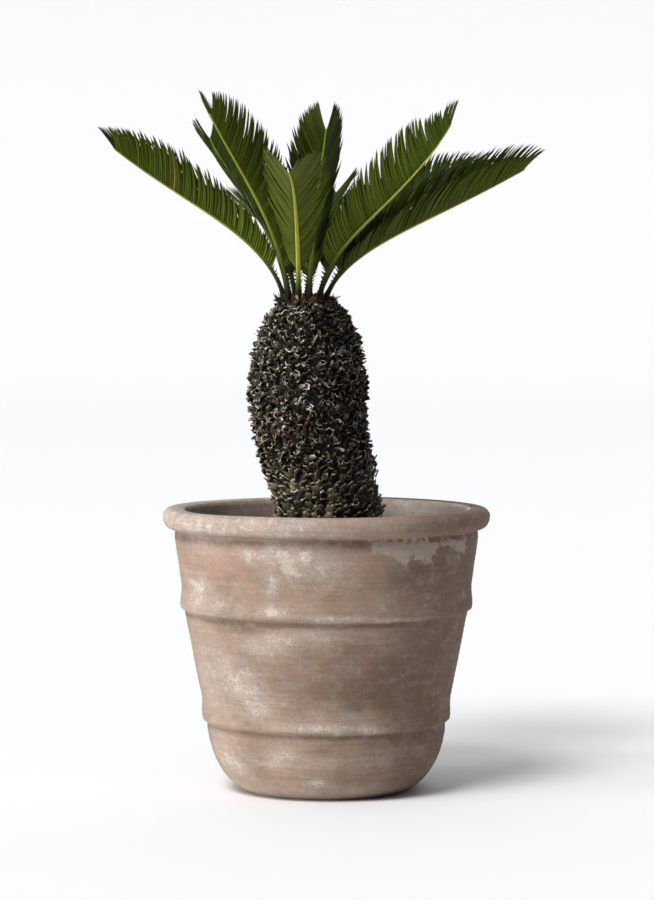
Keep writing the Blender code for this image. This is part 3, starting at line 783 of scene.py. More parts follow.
@dataclass
class PottingSoil:
    """The soil's crumbly surface with bark chips and pumice on it."""

    level: float = 0.272
    radius: float = 0.1525
    rings: int = 60
    sides: int = 160
    chips: int = 900
    peat: str = "#2E241B"
    bark: str = "#4A3524"
    pumice: str = "#8C8478"

    def build(self) -> bpy.types.Object:
        """Makes the surface and its chips as one piece."""
        draws = np.random.default_rng(11)
        sheaf = Sheaf()
        reach = np.linspace(0.02, 1, self.rings)[:, None] * self.radius
        turns = np.linspace(0, math.tau, self.sides, endpoint=False)[None]
        flat = np.stack([reach * np.cos(turns), reach * np.sin(turns), reach * 0 + 0 * turns], axis=-1)
        rise = 0.0012 * ripple(flat, 0.03, 21) + 0.0009 * ripple(flat, 0.009, 22)
        flat[..., 2] = self.level - 0.0018 + rise
        faces = [tuple(range(self.sides))]
        for ring in range(self.rings - 1):
            low, high = ring * self.sides, (ring + 1) * self.sides
            for side in range(self.sides):
                after = (side + 1) % self.sides
                faces.append((low + side, high + side, high + after, low + after))
        skirt = flat[-1].copy()
        skirt[:, 2] = self.level - 0.012
        base = self.rings * self.sides
        last = base - self.sides
        for side in range(self.sides):
            after = (side + 1) % self.sides
            faces.append((last + side, base + side, base + after, last + after))
        faces.append(tuple(base + side for side in range(self.sides)))
        points = np.concatenate([flat.reshape(-1, 3), skirt])
        shade = draws.uniform(0.75, 1.25, (len(points), 1)) * np.array([linear(self.peat)])
        sheaf.add(points, shade, faces)

        away = self.radius * 0.97 * np.sqrt(draws.uniform(0.0, 1, self.chips))
        angle = draws.uniform(0, math.tau, self.chips)
        middle = np.stack([away * np.cos(angle), away * np.sin(angle), away * 0 + self.level], axis=-1)
        along = unit(draws.normal(size=(self.chips, 3)) * [1, 1, 0.25])
        broad = unit(np.cross(along, draws.normal(size=(self.chips, 3))))
        size = draws.uniform(0.0016, 0.0046, self.chips)
        stone = draws.uniform(size=self.chips) < 0.22
        stretch = np.where(stone, 1.0, 1.7)
        kind = np.where(stone[:, None], [linear(self.pumice)], [linear(self.bark)])
        swell = np.array([0.55, 1.0, 0.6])
        steps = np.array([-1.0, 0.0, 0.9])
        flatness = np.where(stone, 0.8, 0.4)
        upright = np.cross(along, broad)
        hexagon = np.radians(np.arange(6) * 60)
        rings = np.empty((self.chips, 3, 6, 3))
        for ring in range(3):
            for corner, turn in enumerate(hexagon):
                wobble = draws.uniform(0.8, 1.2, self.chips)
                side = (size * swell[ring] * math.cos(turn) * wobble)[:, None] * broad
                lift = (size * swell[ring] * math.sin(turn) * wobble * flatness)[:, None] * upright
                rings[:, ring, corner] = middle + (size * steps[ring] * stretch)[:, None] * along + side + lift
        tips = middle + (size * 1.25 * stretch)[:, None] * along
        tints = np.broadcast_to(kind[:, None, None] * draws.uniform(0.6, 1.3, (self.chips, 1, 1, 1)), rings.shape)
        sheaf.add_sweeps(rings, tips, tints)
        piece = sheaf.build("potting_soil", DampSoil().make(), 40)
        return hand_over(piece, "soil", "soil")


@dataclass
class Tongues:
    """Thin dry strips that curl: what old leaf bases and bud scales leave behind."""

    roots: np.ndarray
    ways: np.ndarray
    curl_axes: np.ndarray
    curls: np.ndarray
    lengths: np.ndarray
    widths: np.ndarray
    tints: np.ndarray
    thick: float = 0.0009
    stations: int = 6
    edge_light: float = 1.5

    def add_to(self, sheaf: Sheaf) -> None:
        """Bends every strip about its own width and adds it."""
        axes = unit(self.curl_axes - self.ways * np.sum(self.curl_axes * self.ways, -1, keepdims=True))
        count = len(self.roots)
        place = self.roots.copy()
        rings = np.empty((count, self.stations, 4, 3))
        tints = np.empty((count, self.stations, 4, 3))
        step = (self.lengths / self.stations)[:, None]
        for station in range(self.stations):
            share = station / self.stations
            way = turn_about(self.ways, axes, (self.curls * share)[:, None])
            flat = np.cross(way, axes)
            half = (self.widths / 2 * (1 - share**2.2) ** 0.8)[:, None]
            thin = self.thick / 2 * (1 - 0.5 * share)
            corners = (half * axes, thin * flat, -half * axes, -thin * flat)
            for corner, offset in enumerate(corners):
                rings[:, station, corner] = place + offset
                glow = self.edge_light if corner % 2 == 0 else 0.9
                # Painted shade: each strip darkens from its tip towards its root.
                tints[:, station, corner] = self.tints * (glow * blend(0.55, 1.15, share))
            place = place + way * step
        sheaf.add_sweeps(rings, place, np.clip(tints, 0, 1))


@dataclass
class Husks:
    """Thin dry leaf bases, each rolled across its width and bent along its length."""

    roots: np.ndarray
    ways: np.ndarray
    hollows: np.ndarray
    rolls: np.ndarray
    bends: np.ndarray
    lengths: np.ndarray
    widths: np.ndarray
    bodies: np.ndarray
    rims: np.ndarray
    points: np.ndarray
    thick: float = 0.0011
    rows: tuple[float, ...] = (0.0, 0.30, 0.58, 0.78, 0.89, 1.0)
    columns: tuple[float, ...] = (-1.0, -0.86, -0.45, 0.0, 0.45, 0.86, 1.0)

    def some(self, chosen: np.ndarray) -> "Husks":
        """The husks with these numbers alone."""
        arrays = {item.name: getattr(self, item.name) for item in fields(self)}
        return replace(self, **{name: held[chosen] for name, held in arrays.items()
                                if isinstance(held, np.ndarray)})

    def add_to(self, sheaf: Sheaf, draws: np.random.Generator) -> None:
        """Rolls and bends every husk and adds it, with a ragged rim.

        Args:
            sheaf: what they are added to.
            draws: the source of chance for the rims.
        """
        aside = unit(np.cross(self.ways, self.hollows))
        count = len(self.roots)
        outer = np.empty((count, len(self.rows), len(self.columns), 3))
        inner = np.empty_like(outer)
        worn = draws.uniform(0.15, 1.25, (count, len(self.columns), 1))
        tints = np.empty((2, *outer.shape))
        place = self.roots.copy()
        for row, share in enumerate(self.rows):
            way = turn_about(self.ways, aside, (-self.bends * share)[:, None])
            hollow = np.cross(aside, way)
            width = self.widths * (1 - self.points * share ** (2.4 - self.points)) * min(1.0, 0.8 + share)
            radius = width / self.rolls
            for column, across in enumerate(self.columns):
                turn = (across * self.rolls / 2)[:, None]
                offset = radius[:, None] * (np.sin(turn) * aside + (1 - np.cos(turn)) * hollow)
                inward = np.cos(turn) * hollow - np.sin(turn) * aside
                ragged = (draws.uniform(-0.10, 0.10, count) * self.lengths * share**4)[:, None] * way
                wavy = (draws.normal(0, 0.055, count) * self.widths * share**2)[:, None] * hollow
                outer[:, row, column] = place + offset + ragged + wavy
                inner[:, row, column] = outer[:, row, column] + self.thick * (1 - 0.4 * share) * inward
                lit = worn[:, column] * max(share**14, 0.8 * abs(across) ** 12 * share)
                # Painted shade: the bodies darken towards the foot, where other husks cover them, and more on the
                # hollow inner side.
                tints[0, :, row, column] = blend(self.bodies * blend(0.25, 1.1, share**1.5), self.rims, lit)
                tints[1, :, row, column] = blend(self.bodies * blend(0.08, 0.6, share**1.5), self.rims, lit)
            ahead = self.rows[min(row + 1, len(self.rows) - 1)] - share
            place = place + way * (self.lengths * ahead)[:, None]
        sheaf.add_shells(outer, inner, np.clip(tints, 0, 1))


@dataclass(frozen=True)
class Flake:
    """A large husk that stands out on the trunk's front.

    turn is degrees right of the front, height metres, swing degrees that it leans to the right, and
    length and width millimetres. roll is how far it is rolled, in radians, and facing is 1 where its
    hollow side shows and -1 where its round side does.
    """

    turn: float
    height: float
    swing: float
    length: float
    width: float
    roll: float
    hue: str
    facing: float = 1.0


FLAKES = (
    Flake(-36, 0.419, 62, 9, 4.5, 1.2, "straw"),
    Flake(-30, 0.414, 115, 7, 3.0, 0.8, "bone", -1),
    Flake(-10, 0.427, 28, 12, 2.2, 1.0, "bone", -1),
    Flake(-14, 0.391, 20, 7, 4.0, 1.0, "tan", -1),
    Flake(-12, 0.386, 75, 5, 4.0, 1.0, "straw"),
    Flake(-8, 0.369, 80, 11, 6.0, 1.6, "straw", -1),
    Flake(-2, 0.357, 10, 9, 8.5, 3.4, "orange"),
    Flake(-6, 0.333, -15, 8, 9.0, 0.7, "straw", -1),
    Flake(-17, 0.325, 20, 8, 9.5, 0.7, "tan", -1),
    Flake(8, 0.322, 12, 10, 10.0, 0.6, "tan", -1),
    Flake(-28, 0.315, -10, 8, 9.0, 0.8, "grey", -1),
    Flake(-45, 0.312, 8, 9, 9.5, 0.7, "tan", -1),
    Flake(22, 0.345, 25, 6, 5.0, 1.5, "orange"),
    Flake(-8, 0.447, 78, 7, 4.5, 1.6, "bone"),
    Flake(-49, 0.456, 80, 7, 4.0, 1.2, "straw"),
    Flake(10, 0.467, 35, 7, 4.5, 1.4, "straw"),
    Flake(24, 0.468, 20, 7, 3.5, 1.4, "straw"),
    Flake(5, 0.491, 28, 12, 2.4, 1.0, "straw", -1),
    Flake(-12, 0.505, 55, 6, 3.5, 1.0, "bone"),
    Flake(-52, 0.500, 35, 5, 3.5, 1.0, "bone"),
    Flake(82, 0.357, 28, 13, 5.0, 1.2, "black", -1),
    Flake(76, 0.350, 34, 12, 4.5, 1.2, "black", -1),
    Flake(84, 0.344, 30, 10, 4.0, 1.2, "black", -1),
)


@dataclass
class Trunk:
    """The leaning trunk: a dark core under spirals of old leaf bases and curling dry scales."""

    foot: float = 0.2723
    crown: float = 0.540
    foot_x: float = 0.005
    crown_x: float = -0.0205
    lean_ends: float = 0.430
    radius: float = 0.0575
    swell: float = 0.0025
    swell_height: float = 0.435
    swell_reach: float = 0.070
    flare: float = 0.006
    flare_reach: float = 0.025
    dome_start: float = 0.440
    dome_top: float = 0.5485
    dome_fullness: float = 2.2
    husk_area: float = 28e-6
    plate_area: float = 46e-6
    curls: int = 1900
    threads: int = 80
    hues: dict[str, str] = field(default_factory=lambda: {
        "black": "#15120C", "brown": "#33271A", "grey": "#5E5038", "tan": "#8F8066", "olive": "#5C5738",
        "straw": "#C3B798", "bone": "#EAE5DA", "rust": "#54362A", "orange": "#8A6038",
    })

    def middle(self, height: np.ndarray) -> np.ndarray:
        """How far the trunk's middle stands to the side at a height."""
        share = (height - self.foot) / (self.lean_ends - self.foot)
        return blend(self.foot_x, self.crown_x, ease(share))

    def girth(self, height: np.ndarray) -> np.ndarray:
        """Radius under the scales at a height."""
        swell = self.swell * (1 - ease(np.abs(height - self.swell_height) / self.swell_reach))
        flare = self.flare * (1 - ease((height - self.foot) / self.flare_reach))
        share = np.clip((height - self.dome_start) / (self.dome_top - self.dome_start), 0, 1)
        dome = (1 - share**self.dome_fullness) ** (1 / self.dome_fullness)
        return (self.radius + swell + flare) * dome

    def on_surface(self, turn: np.ndarray, height: np.ndarray) -> tuple[np.ndarray, np.ndarray, np.ndarray]:
        """Points on the trunk with their outward and upward directions.

        Args:
            turn: angles round the trunk, in radians.
            height: heights.

        Returns:
            The points, the outward directions and the directions that climb the surface.
        """
        girth = self.girth(height)
        point = np.stack([self.middle(height) + girth * np.cos(turn), girth * np.sin(turn), height], -1)
        higher = height + 0.0005
        other = self.girth(higher)
        above = np.stack([self.middle(higher) + other * np.cos(turn), other * np.sin(turn), higher], -1)
        climb = unit(above - point)
        around = np.stack([-np.sin(turn), np.cos(turn), 0 * turn], -1)
        return point, unit(np.cross(around, climb)), climb

    def colour(self, name: str) -> np.ndarray:
        """One of the trunk's colours."""
        return np.array(linear(self.hues[name]))

    def build_core(self, material: bpy.types.Material) -> None:
        """The dark body that shows between the scales."""
        heights = np.linspace(self.foot, self.crown, 110)[:, None]
        turns = np.linspace(0, math.tau, 120, endpoint=False)[None]
        girth = self.girth(heights) - 0.0015 * ease((self.crown - heights) / 0.01)
        points = np.stack([self.middle(heights) + girth * np.cos(turns), girth * np.sin(turns),
                           heights + 0 * turns], -1)
        points[1:-1, :, :2] += (0.0012 * ripple(points[1:-1], 0.008, 31))[..., None] * np.stack(
            [np.cos(turns), np.sin(turns)], -1)
        faces = []
        sides = turns.shape[1]
        for row in range(len(heights) - 1):
            low, high = row * sides, (row + 1) * sides
            for side in range(sides):
                after = (side + 1) % sides
                faces.append((low + side, low + after, high + after, high + side))
        faces.append(tuple(reversed(range(sides))))
        faces.append(tuple((len(heights) - 1) * sides + side for side in range(sides)))
        sheaf = Sheaf()
        sheaf.add(points.reshape(-1, 3), np.tile(self.colour("black") * 0.8, (points[..., 0].size, 1)), faces)
        hand_over(sheaf.build("trunk_core", material), "bark", "trunk")

    def tones(self, draws: np.random.Generator, count: int, mix: dict[str, float]) -> np.ndarray:
        """Colours drawn at random.

        Args:
            draws: the source of chance.
            count: how many colours.
            mix: how often each named colour comes, as shares that add up to one.

        Returns:
            One colour a row, each a little lighter or darker than its name says.
        """
        palette = np.array([self.colour(name) for name in mix])
        chosen = draws.choice(len(palette), count, p=list(mix.values()))
        return palette[chosen] * draws.uniform(0.75, 1.3, (count, 1))

    def shade(self, turn: np.ndarray) -> np.ndarray:
        """How much darker the husks are towards the right: painted shade on the side away from the light."""
        return blend(1.05, 0.50, ease((np.cos(turn) + 0.35) / 1.2))[:, None]

    def build_husks(self, material: bpy.types.Material) -> None:
        """The old leaf bases in golden-angle spirals: broad plates low down, curled husks higher up."""
        draws = np.random.default_rng(5)
        heights = [self.foot + 0.001]
        while heights[-1] < self.crown - 0.003:
            area = blend(self.husk_area, self.plate_area, 1 - ease((heights[-1] - 0.325) / 0.060))
            heights.append(heights[-1] + area / (math.tau * self.radius))
        height, count = np.array(heights), len(heights)
        turn = np.arange(count) * math.radians(137.508) + draws.normal(0, 0.03, count)
        point, outward, climb = self.on_surface(turn, height)
        around = np.cross(climb, outward)
        old = 1 - ease((height - 0.325) / 0.060)
        tilt = np.radians(blend(draws.normal(34, 24, count), draws.normal(66, 10, count), old))
        swing = draws.normal(0, 1, count) * blend(0.50, 0.16, old)
        ways = unit(outward * np.cos(tilt)[:, None] + climb * np.sin(tilt)[:, None] + around * swing[:, None])
        spin = draws.normal(0, 1, count) * blend(0.95, 0.20, old)
        level = climb * np.cos(tilt)[:, None] - outward * np.sin(tilt)[:, None]
        hollows = level * np.cos(spin)[:, None] + around * np.sin(spin)[:, None]
        hollows = unit(hollows - ways * np.sum(hollows * ways, -1, keepdims=True))
        rolls = blend(draws.uniform(1.0, 3.8, count), draws.uniform(0.6, 2.0, count), old)
        bends = blend(draws.normal(0.0, 0.8, count), draws.normal(-0.10, 0.30, count), old)
        lengths = blend(draws.uniform(0.0055, 0.0110, count), draws.uniform(0.0075, 0.0110, count), old)
        widths = blend(draws.uniform(0.0050, 0.0120, count), draws.uniform(0.0090, 0.0150, count), old)
        narrowing = blend(draws.uniform(0.1, 0.6, count), draws.uniform(0.45, 0.75, count), old)
        left = np.exp(-((np.degrees(turn) % 360 - 225) / 50) ** 2)
        ruddy = draws.uniform(size=count) < 0.75 * left * np.exp(-((height - 0.402) / 0.018) ** 2)
        bodies = self.tones(draws, count, {"black": 0.76, "brown": 0.20, "grey": 0.03, "tan": 0.01})
        plates = self.tones(draws, count, {"black": 0.30, "brown": 0.30, "grey": 0.16, "olive": 0.14, "tan": 0.10})
        bodies = np.where(draws.uniform(size=(count, 1)) < old[:, None], plates * 1.4, bodies)
        lengths *= 1 - 0.5 * ease((height - 0.515) / 0.025)
        bodies[ruddy] = self.tones(draws, int(ruddy.sum()), {"rust": 0.8, "brown": 0.2})
        rims = self.tones(draws, count, {"brown": 0.10, "grey": 0.20, "tan": 0.26, "straw": 0.26, "bone": 0.18})
        pale = self.tones(draws, count, {"tan": 0.30, "straw": 0.45, "bone": 0.25})
        rims = np.where(old[:, None] > 0.5, pale, rims)
        # Painted shade: husks darker towards the right, away from the light.
        shade = self.shade(turn)
        bodies, rims = bodies * shade * 0.88, rims * shade * 1.12
        husks = Husks(point - outward * 0.0012, ways, hollows, rolls, bends, lengths, widths, bodies, rims,
                      narrowing)
        zones = ("low", "middle", "high")
        for zone, chosen in zip(zones, np.array_split(np.arange(count), len(zones))):
            sheaf = Sheaf()
            husks.some(chosen).add_to(sheaf, draws)
            hand_over(sheaf.build(f"old_leaf_bases_{zone}", material, 40), "bark", "trunk")
        sheaf = Sheaf()
        self.add_flakes(sheaf, draws)
        hand_over(sheaf.build("pale_leaf_bases", material, 40), "bark", "trunk")

    def add_flakes(self, sheaf: Sheaf, draws: np.random.Generator) -> None:
        """Adds the few large pale husks that catch the eye on the front."""
        turn = np.radians([flake.turn - 90 for flake in FLAKES])
        height = np.array([flake.height for flake in FLAKES])
        point, outward, climb = self.on_surface(turn, height)
        around = np.cross(climb, outward)
        swing = np.radians([flake.swing for flake in FLAKES])[:, None]
        upright = climb * np.cos(swing) + around * np.sin(swing)
        ways = unit(upright + outward * 0.45)
        hollows = unit(outward - ways * np.sum(outward * ways, -1, keepdims=True))
        facing = np.array([flake.facing for flake in FLAKES])[:, None]
        size = np.array([(flake.length, flake.width, flake.roll) for flake in FLAKES])
        tone = np.array([self.colour(flake.hue) for flake in FLAKES])
        Husks(point + outward * 0.0035, ways, hollows * facing, size[:, 2], np.full(len(FLAKES), 0.2),
              size[:, 0] * MM, size[:, 1] * MM, tone * 0.7, tone * 1.3,
              np.full(len(FLAKES), 0.4), 0.0007).add_to(sheaf, draws)

    def build_curls(self, material: bpy.types.Material) -> None:
        """The dry strips that curl out between the leaf bases, densest near the crown."""
        draws = np.random.default_rng(8)
        count = self.curls
        height = self.foot + 0.01 + (self.crown - self.foot - 0.013) * draws.beta(1.7, 1.0, count)
        turn = draws.uniform(0, math.tau, count)
        point, outward, climb = self.on_surface(turn, height)
        around = np.cross(climb, outward)
        young = ease((height - 0.36) / 0.06)
        tilt = np.radians(draws.uniform(0, 75, count))
        swing = draws.normal(0, 0.55, count)
        ways = unit(outward * np.cos(tilt)[:, None] + climb * np.sin(tilt)[:, None] + around * swing[:, None])
        spin = draws.normal(0, 0.7, count)[:, None]
        axes = unit(around * np.cos(spin) + climb * np.sin(spin))
        mix = draws.uniform(size=(count, 1))
        tint = np.where(mix < 0.54, self.colour("black"), self.colour("brown"))
        tint = np.where(mix > 0.74, self.colour("grey"), tint)
        tint = np.where(mix > 0.90, self.colour("tan"), tint)
        tint = np.where(mix > 0.97, self.colour("straw"), tint)
        left = np.exp(-((np.degrees(turn) - 215) / 45) ** 2)
        ruddy = 0.75 * left * np.exp(-((height - 0.402) / 0.020) ** 2) + 0.25 * ease((height - 0.51) / 0.02)
        tint = np.where(draws.uniform(size=(count, 1)) < (0.03 + ruddy)[:, None], self.colour("rust"), tint)
        # Painted shade: darker towards the right.
        tint = tint * self.shade(turn)
        reach = draws.uniform(0.0050, 0.0110, count) * blend(0.62, 1.0, young)
        reach *= 1 - 0.45 * ease((height - 0.515) / 0.025)
        curls = draws.choice([-1.0, 1.0], count) * np.radians(draws.uniform(30, 170, count))
        sheaf = Sheaf()
        Tongues(point - outward * 0.001, ways, axes, curls, reach,
                draws.uniform(0.0018, 0.0050, count), tint).add_to(sheaf)
        hand_over(sheaf.build("curled_dry_scales", material, 50), "bark", "trunk")

    def build_threads(self, material: bpy.types.Material) -> None:
        """The thin worn edges of old scales, which curl over the surface and catch the light."""
        draws = np.random.default_rng(23)
        count = self.threads
        height = blend(0.372, self.crown - 0.012, draws.beta(1.3, 1.0, count))
        turn = draws.uniform(0, math.tau, count)
        point, outward, climb = self.on_surface(turn, height)
        around = np.cross(climb, outward)
        slope = draws.uniform(-0.4, 1.5, count)[:, None]
        ways = unit(around * np.cos(slope) + climb * np.sin(slope) + outward * 0.15)
        curls = draws.choice([-1.0, 1.0], count) * np.radians(draws.uniform(30, 130, count))
        # Painted shade: darker towards the right.
        tint = self.tones(draws, count, {"grey": 0.42, "tan": 0.42, "straw": 0.16}) * self.shade(turn)
        sheaf = Sheaf()
        Tongues(point + outward * draws.uniform(0.0030, 0.0060, (count, 1)), ways, outward, curls,
                draws.uniform(0.0060, 0.0120, count), draws.uniform(0.0010, 0.0022, count), tint, 0.0008,
                7, 1.2).add_to(sheaf)
        hand_over(sheaf.build("worn_scale_edges", material, 50), "bark", "trunk")

    def build(self) -> None:
        """Makes the core, the leaf bases, the curling scales and their worn edges."""
        bark = DryTissue("dead_leaf_bases", 0.55).make()
        self.build_core(bark)
        self.build_husks(bark)
        self.build_curls(bark)
        self.build_threads(bark)


@dataclass
class CrownBud:
    """The woolly bud between the fronds' feet, with young scales round it."""

    middle_x: float = -0.0235
    level: float = 0.538
    reach: float = 0.0335
    scales: int = 220
    hairs: int = 420
    wool: str = "#6E4426"
    brown: str = "#33241A"
    straw: str = "#A8946C"
    black: str = "#17130F"

    def build(self) -> None:
        """Makes the pointed scales and the wool."""
        draws = np.random.default_rng(17)
        material = DryTissue("woolly_bud_scale", 0.9, 1.0, 0.3).make()
        sheaf = Sheaf()
        self.add_ring(sheaf, draws, self.scales, (0.0, self.reach), (0.005, 0.012), (0.0030, 0.0066), 0.7)
        self.add_ring(sheaf, draws, self.hairs, (0.004, self.reach), (0.003, 0.008), (0.0006, 0.0012), 1.5)
        hand_over(sheaf.build("crown_bud_scales", material, 60), "bud", "crown_bud")

    def add_ring(self, sheaf: Sheaf, draws: np.random.Generator, count: int, away: tuple[float, float],
                 length: tuple[float, float], width: tuple[float, float], curl: float) -> None:
        """Adds strips that stand up round the crown's middle.

        Args:
            sheaf: what they are added to.
            draws: the source of chance.
            count: how many.
            away: least and greatest distance from the middle.
            length: least and greatest length.
            width: least and greatest width.
            curl: how far they curl, in radians.
        """
        distance = away[0] + (away[1] - away[0]) * np.sqrt(draws.uniform(size=count))
        turn = draws.uniform(0, math.tau, count)
        outward = np.stack([np.cos(turn), np.sin(turn), 0 * turn], -1)
        upward = np.array([0.0, 0.0, 1.0])
        lean = (distance / away[1]) ** 2 * 0.55 + draws.normal(0, 0.22, count)
        ways = unit(upward * np.cos(lean)[:, None] + outward * np.sin(lean)[:, None]
                    + draws.normal(0, 0.12, (count, 3)))
        around = np.cross(upward, outward)
        roots = np.array([self.middle_x, 0, self.level]) + outward * distance[:, None]
        mix = draws.uniform(size=(count, 1))
        tint = np.where(mix < 0.22, linear(self.wool), linear(self.brown))
        tint = np.where(mix > 0.50, linear(self.black), tint)
        tint = np.where(mix > 0.95, linear(self.straw), tint)
        Tongues(roots, ways, around, draws.normal(0, curl, count),
                draws.uniform(*length, count), draws.uniform(*width, count), tint).add_to(sheaf)


@dataclass
class Frond:
    """One arching frond. Angles are in degrees and its length in metres.

    heading is the compass turn that it sets off in, from +X towards +Y, and seat the turn of its
    foot round the crown. rise is its slope at the foot and reach its slope at the tip. sweep is how
    far it turns sideways on the way, and haste how early it arches over. fold is how steeply its
    leaflets stand up in a V. roll tips the V to one side all the way, and twist tips it further
    towards the tip. early is the share of its leafy part on which the leaflets grow to full length.
    lightness scales its green as painted light above 1 and painted shade below 1. yellow sets how
    young its green is, and ripens the share of its length over which the stalk's dark green turns into
    the yellow of the midrib. blade and full are how long and how broad its leaflets are beside the
    others', lean how much closer they lie to the midrib, and dead the number of a leaflet that has
    died, or -1.
    """

    name: str
    heading: float
    seat: float
    rise: float
    reach: float
    length: float
    sweep: float
    haste: float
    fold: float = 46
    roll: float = 0
    twist: float = 0
    early: float = 0.40
    lean: float = 0
    blade: float = 1.0
    painted_light_level: float = 1.0
    yellow: float = 0.0
    dead: int = -1
    ripens: float = 0.55
    full: float = 1.0

    crown_x = -0.0235
    crown_height = 0.540
    seat_radius = 0.0225
    bare = 0.14
    pairs = 74
    leaflet_length = 0.066
    leaflet_width = 0.0038
    leaflet_thick = 0.0007
    stations = 8
    samples = 240
    above = "#303D10"
    below = "#4A5717"
    tip_brown = "#6B5A34"
    dead_brown = "#967040"
    rib_green = "#959834"
    rib_edge = "#B4B24E"
    petiole_green = "#2E3B18"
    petiole_brown = "#1E1A12"

    def __post_init__(self) -> None:
        """Works out the midrib's course."""
        self.draws = np.random.default_rng(sum(map(ord, self.name)))
        seat = math.radians(self.seat)
        start = np.array([self.crown_x, 0.0, self.crown_height + CLEARANCE])
        start = start + self.seat_radius * np.array([math.cos(seat), math.sin(seat), 0.0])
        shares = (np.arange(self.samples) + 0.5) / self.samples
        steps = self.along(shares) * self.length / self.samples
        self.course = np.concatenate([start[None], start + np.cumsum(steps, axis=0)])

    def angles(self, share: np.ndarray) -> tuple[np.ndarray, np.ndarray]:
        """Heading and slope in radians at shares of the length."""
        arch = 1 - (1 - share) ** self.haste
        return np.radians(self.heading + self.sweep * share), np.radians(blend(self.rise, self.reach, arch))

    def along(self, share: np.ndarray) -> np.ndarray:
        """Directions of growth."""
        heading, slope = self.angles(share)
        level = np.cos(slope)
        return np.stack([level * np.cos(heading), level * np.sin(heading), np.sin(slope)], -1)

    def face(self, share: np.ndarray) -> np.ndarray:
        """Directions that the upper side looks in, tipped by the roll and the twist."""
        heading, slope = self.angles(share)
        level = -np.sin(slope)
        up = np.stack([level * np.cos(heading), level * np.sin(heading), np.cos(slope)], -1)
        tip = self.roll * ease(share / 0.20) + self.twist * ease((share - 0.60) / 0.35)
        turn = np.radians(tip)[..., None]
        return np.cos(turn) * up + np.sin(turn) * np.cross(self.along(share), up)

    def point(self, share: np.ndarray) -> np.ndarray:
        """Places on the midrib."""
        at = np.linspace(0, 1, len(self.course))
        return np.stack([np.interp(share, at, self.course[:, axis]) for axis in range(3)], -1)

    def half_width(self, share: np.ndarray) -> np.ndarray:
        """Half the midrib's width, which swells at its foot."""
        return blend(0.0033, 0.0008, share**0.62) + 0.0012 * np.exp(-((share / 0.035) ** 2))

    def leaf_lengths(self, leafy: np.ndarray) -> np.ndarray:
        """Length of the leaflets at shares of the leafy part: short at both ends."""
        rising = blend(0.34, 1.0, np.sin(np.minimum(1.0, leafy / self.early) * math.pi / 2))
        falling = 1 - 0.46 * np.maximum(0.0, (leafy - 0.55) / 0.45) ** 1.8
        return self.leaflet_length * self.blade * rising * falling

    def build_rib(self, sheaf: Sheaf) -> None:
        """The midrib: round below, nearly flat above, and brown at its foot."""
        shares = np.linspace(0, 1, 70)
        half = self.half_width(shares)[:, None]
        along, up = self.along(shares), self.face(shares)
        side = np.cross(along, up)
        section = [(1.0, 0.25), (0.55, 0.62), (0.0, 0.50), (-0.55, 0.62), (-1.0, 0.25),
                   (-0.85, -0.55), (-0.35, -0.95), (0.35, -0.95), (0.85, -0.55)]
        rings = np.empty((1, len(shares), len(section), 3))
        tints = np.empty_like(rings)
        foot = ease((shares - 0.03) / self.ripens)[:, None]
        young = ease((shares - 0.010) / 0.11)[:, None]
        for corner, (across, lift) in enumerate(section):
            rings[0, :, corner] = self.point(shares) + half * (across * side + lift * up)
            ripe = np.array(linear(self.rib_edge if abs(across) > 0.8 else self.rib_green))
            stalk = blend(np.array(linear(self.petiole_brown)), np.array(linear(self.petiole_green)), young)
            tints[0, :, corner] = blend(stalk, ripe, foot)
        rings[0, 0, :, 2] = self.crown_height + CLEARANCE
        sheaf.add_sweeps(rings, self.point(np.array([1.0])) + along[-1:] * 0.004, tints)

    def build_leaflets(self, sheaf: Sheaf) -> None:
        """Both rows of leaflets: narrow, pointed, bent forward and rolled down at their edges."""
        draws = self.draws
        pitch = (1 - self.bare) / (self.pairs + 0.3)
        number = np.tile(np.arange(self.pairs), 2)
        side = np.repeat([1.0, -1.0], self.pairs)
        count = len(number)
        share = self.bare + (number + 0.35 + 0.12 * (side > 0)) * pitch
        leafy = number / (self.pairs - 1)
        along, up = self.along(share), self.face(share)
        out = np.cross(along, up) * side[:, None]
        length = self.leaf_lengths(leafy) * draws.uniform(0.955, 1.03, count)
        closing = np.maximum(0.0, (leafy - 0.78) / 0.22) ** 1.4
        spread = np.radians(blend(62, 43, leafy) - self.lean - 12 * closing + draws.normal(0, 1.0, count))
        lift = np.radians(self.fold - 5 + draws.normal(0, 1.8, count))
        bend = np.radians(23 + draws.normal(0, 1.8, count))
        slant = np.radians(9 + draws.normal(0, 6.0, count))
        width = self.leaflet_width * self.full * blend(1.0, 0.66, leafy**2.5) * draws.uniform(0.93, 1.07, count)
        place = self.point(share) + out * (self.half_width(share) * 0.7)[:, None]
        profile = [(1.0, -0.30, 1.00), (0.5, 0.50, 1.25), (0.0, 0.00, 0.65), (-0.5, 0.50, 1.00),
                   (-1.0, -0.30, 0.55), (-0.5, -0.40, 0.65), (0.0, -0.90, 1.40), (0.5, -0.40, 0.75)]
        rings = np.empty((count, self.stations, len(profile), 3))
        tints = np.empty_like(rings)
        green = draws.normal(1.0, 0.15, (count, 1)) * np.array([[1.0, 1.0, 1.0]])
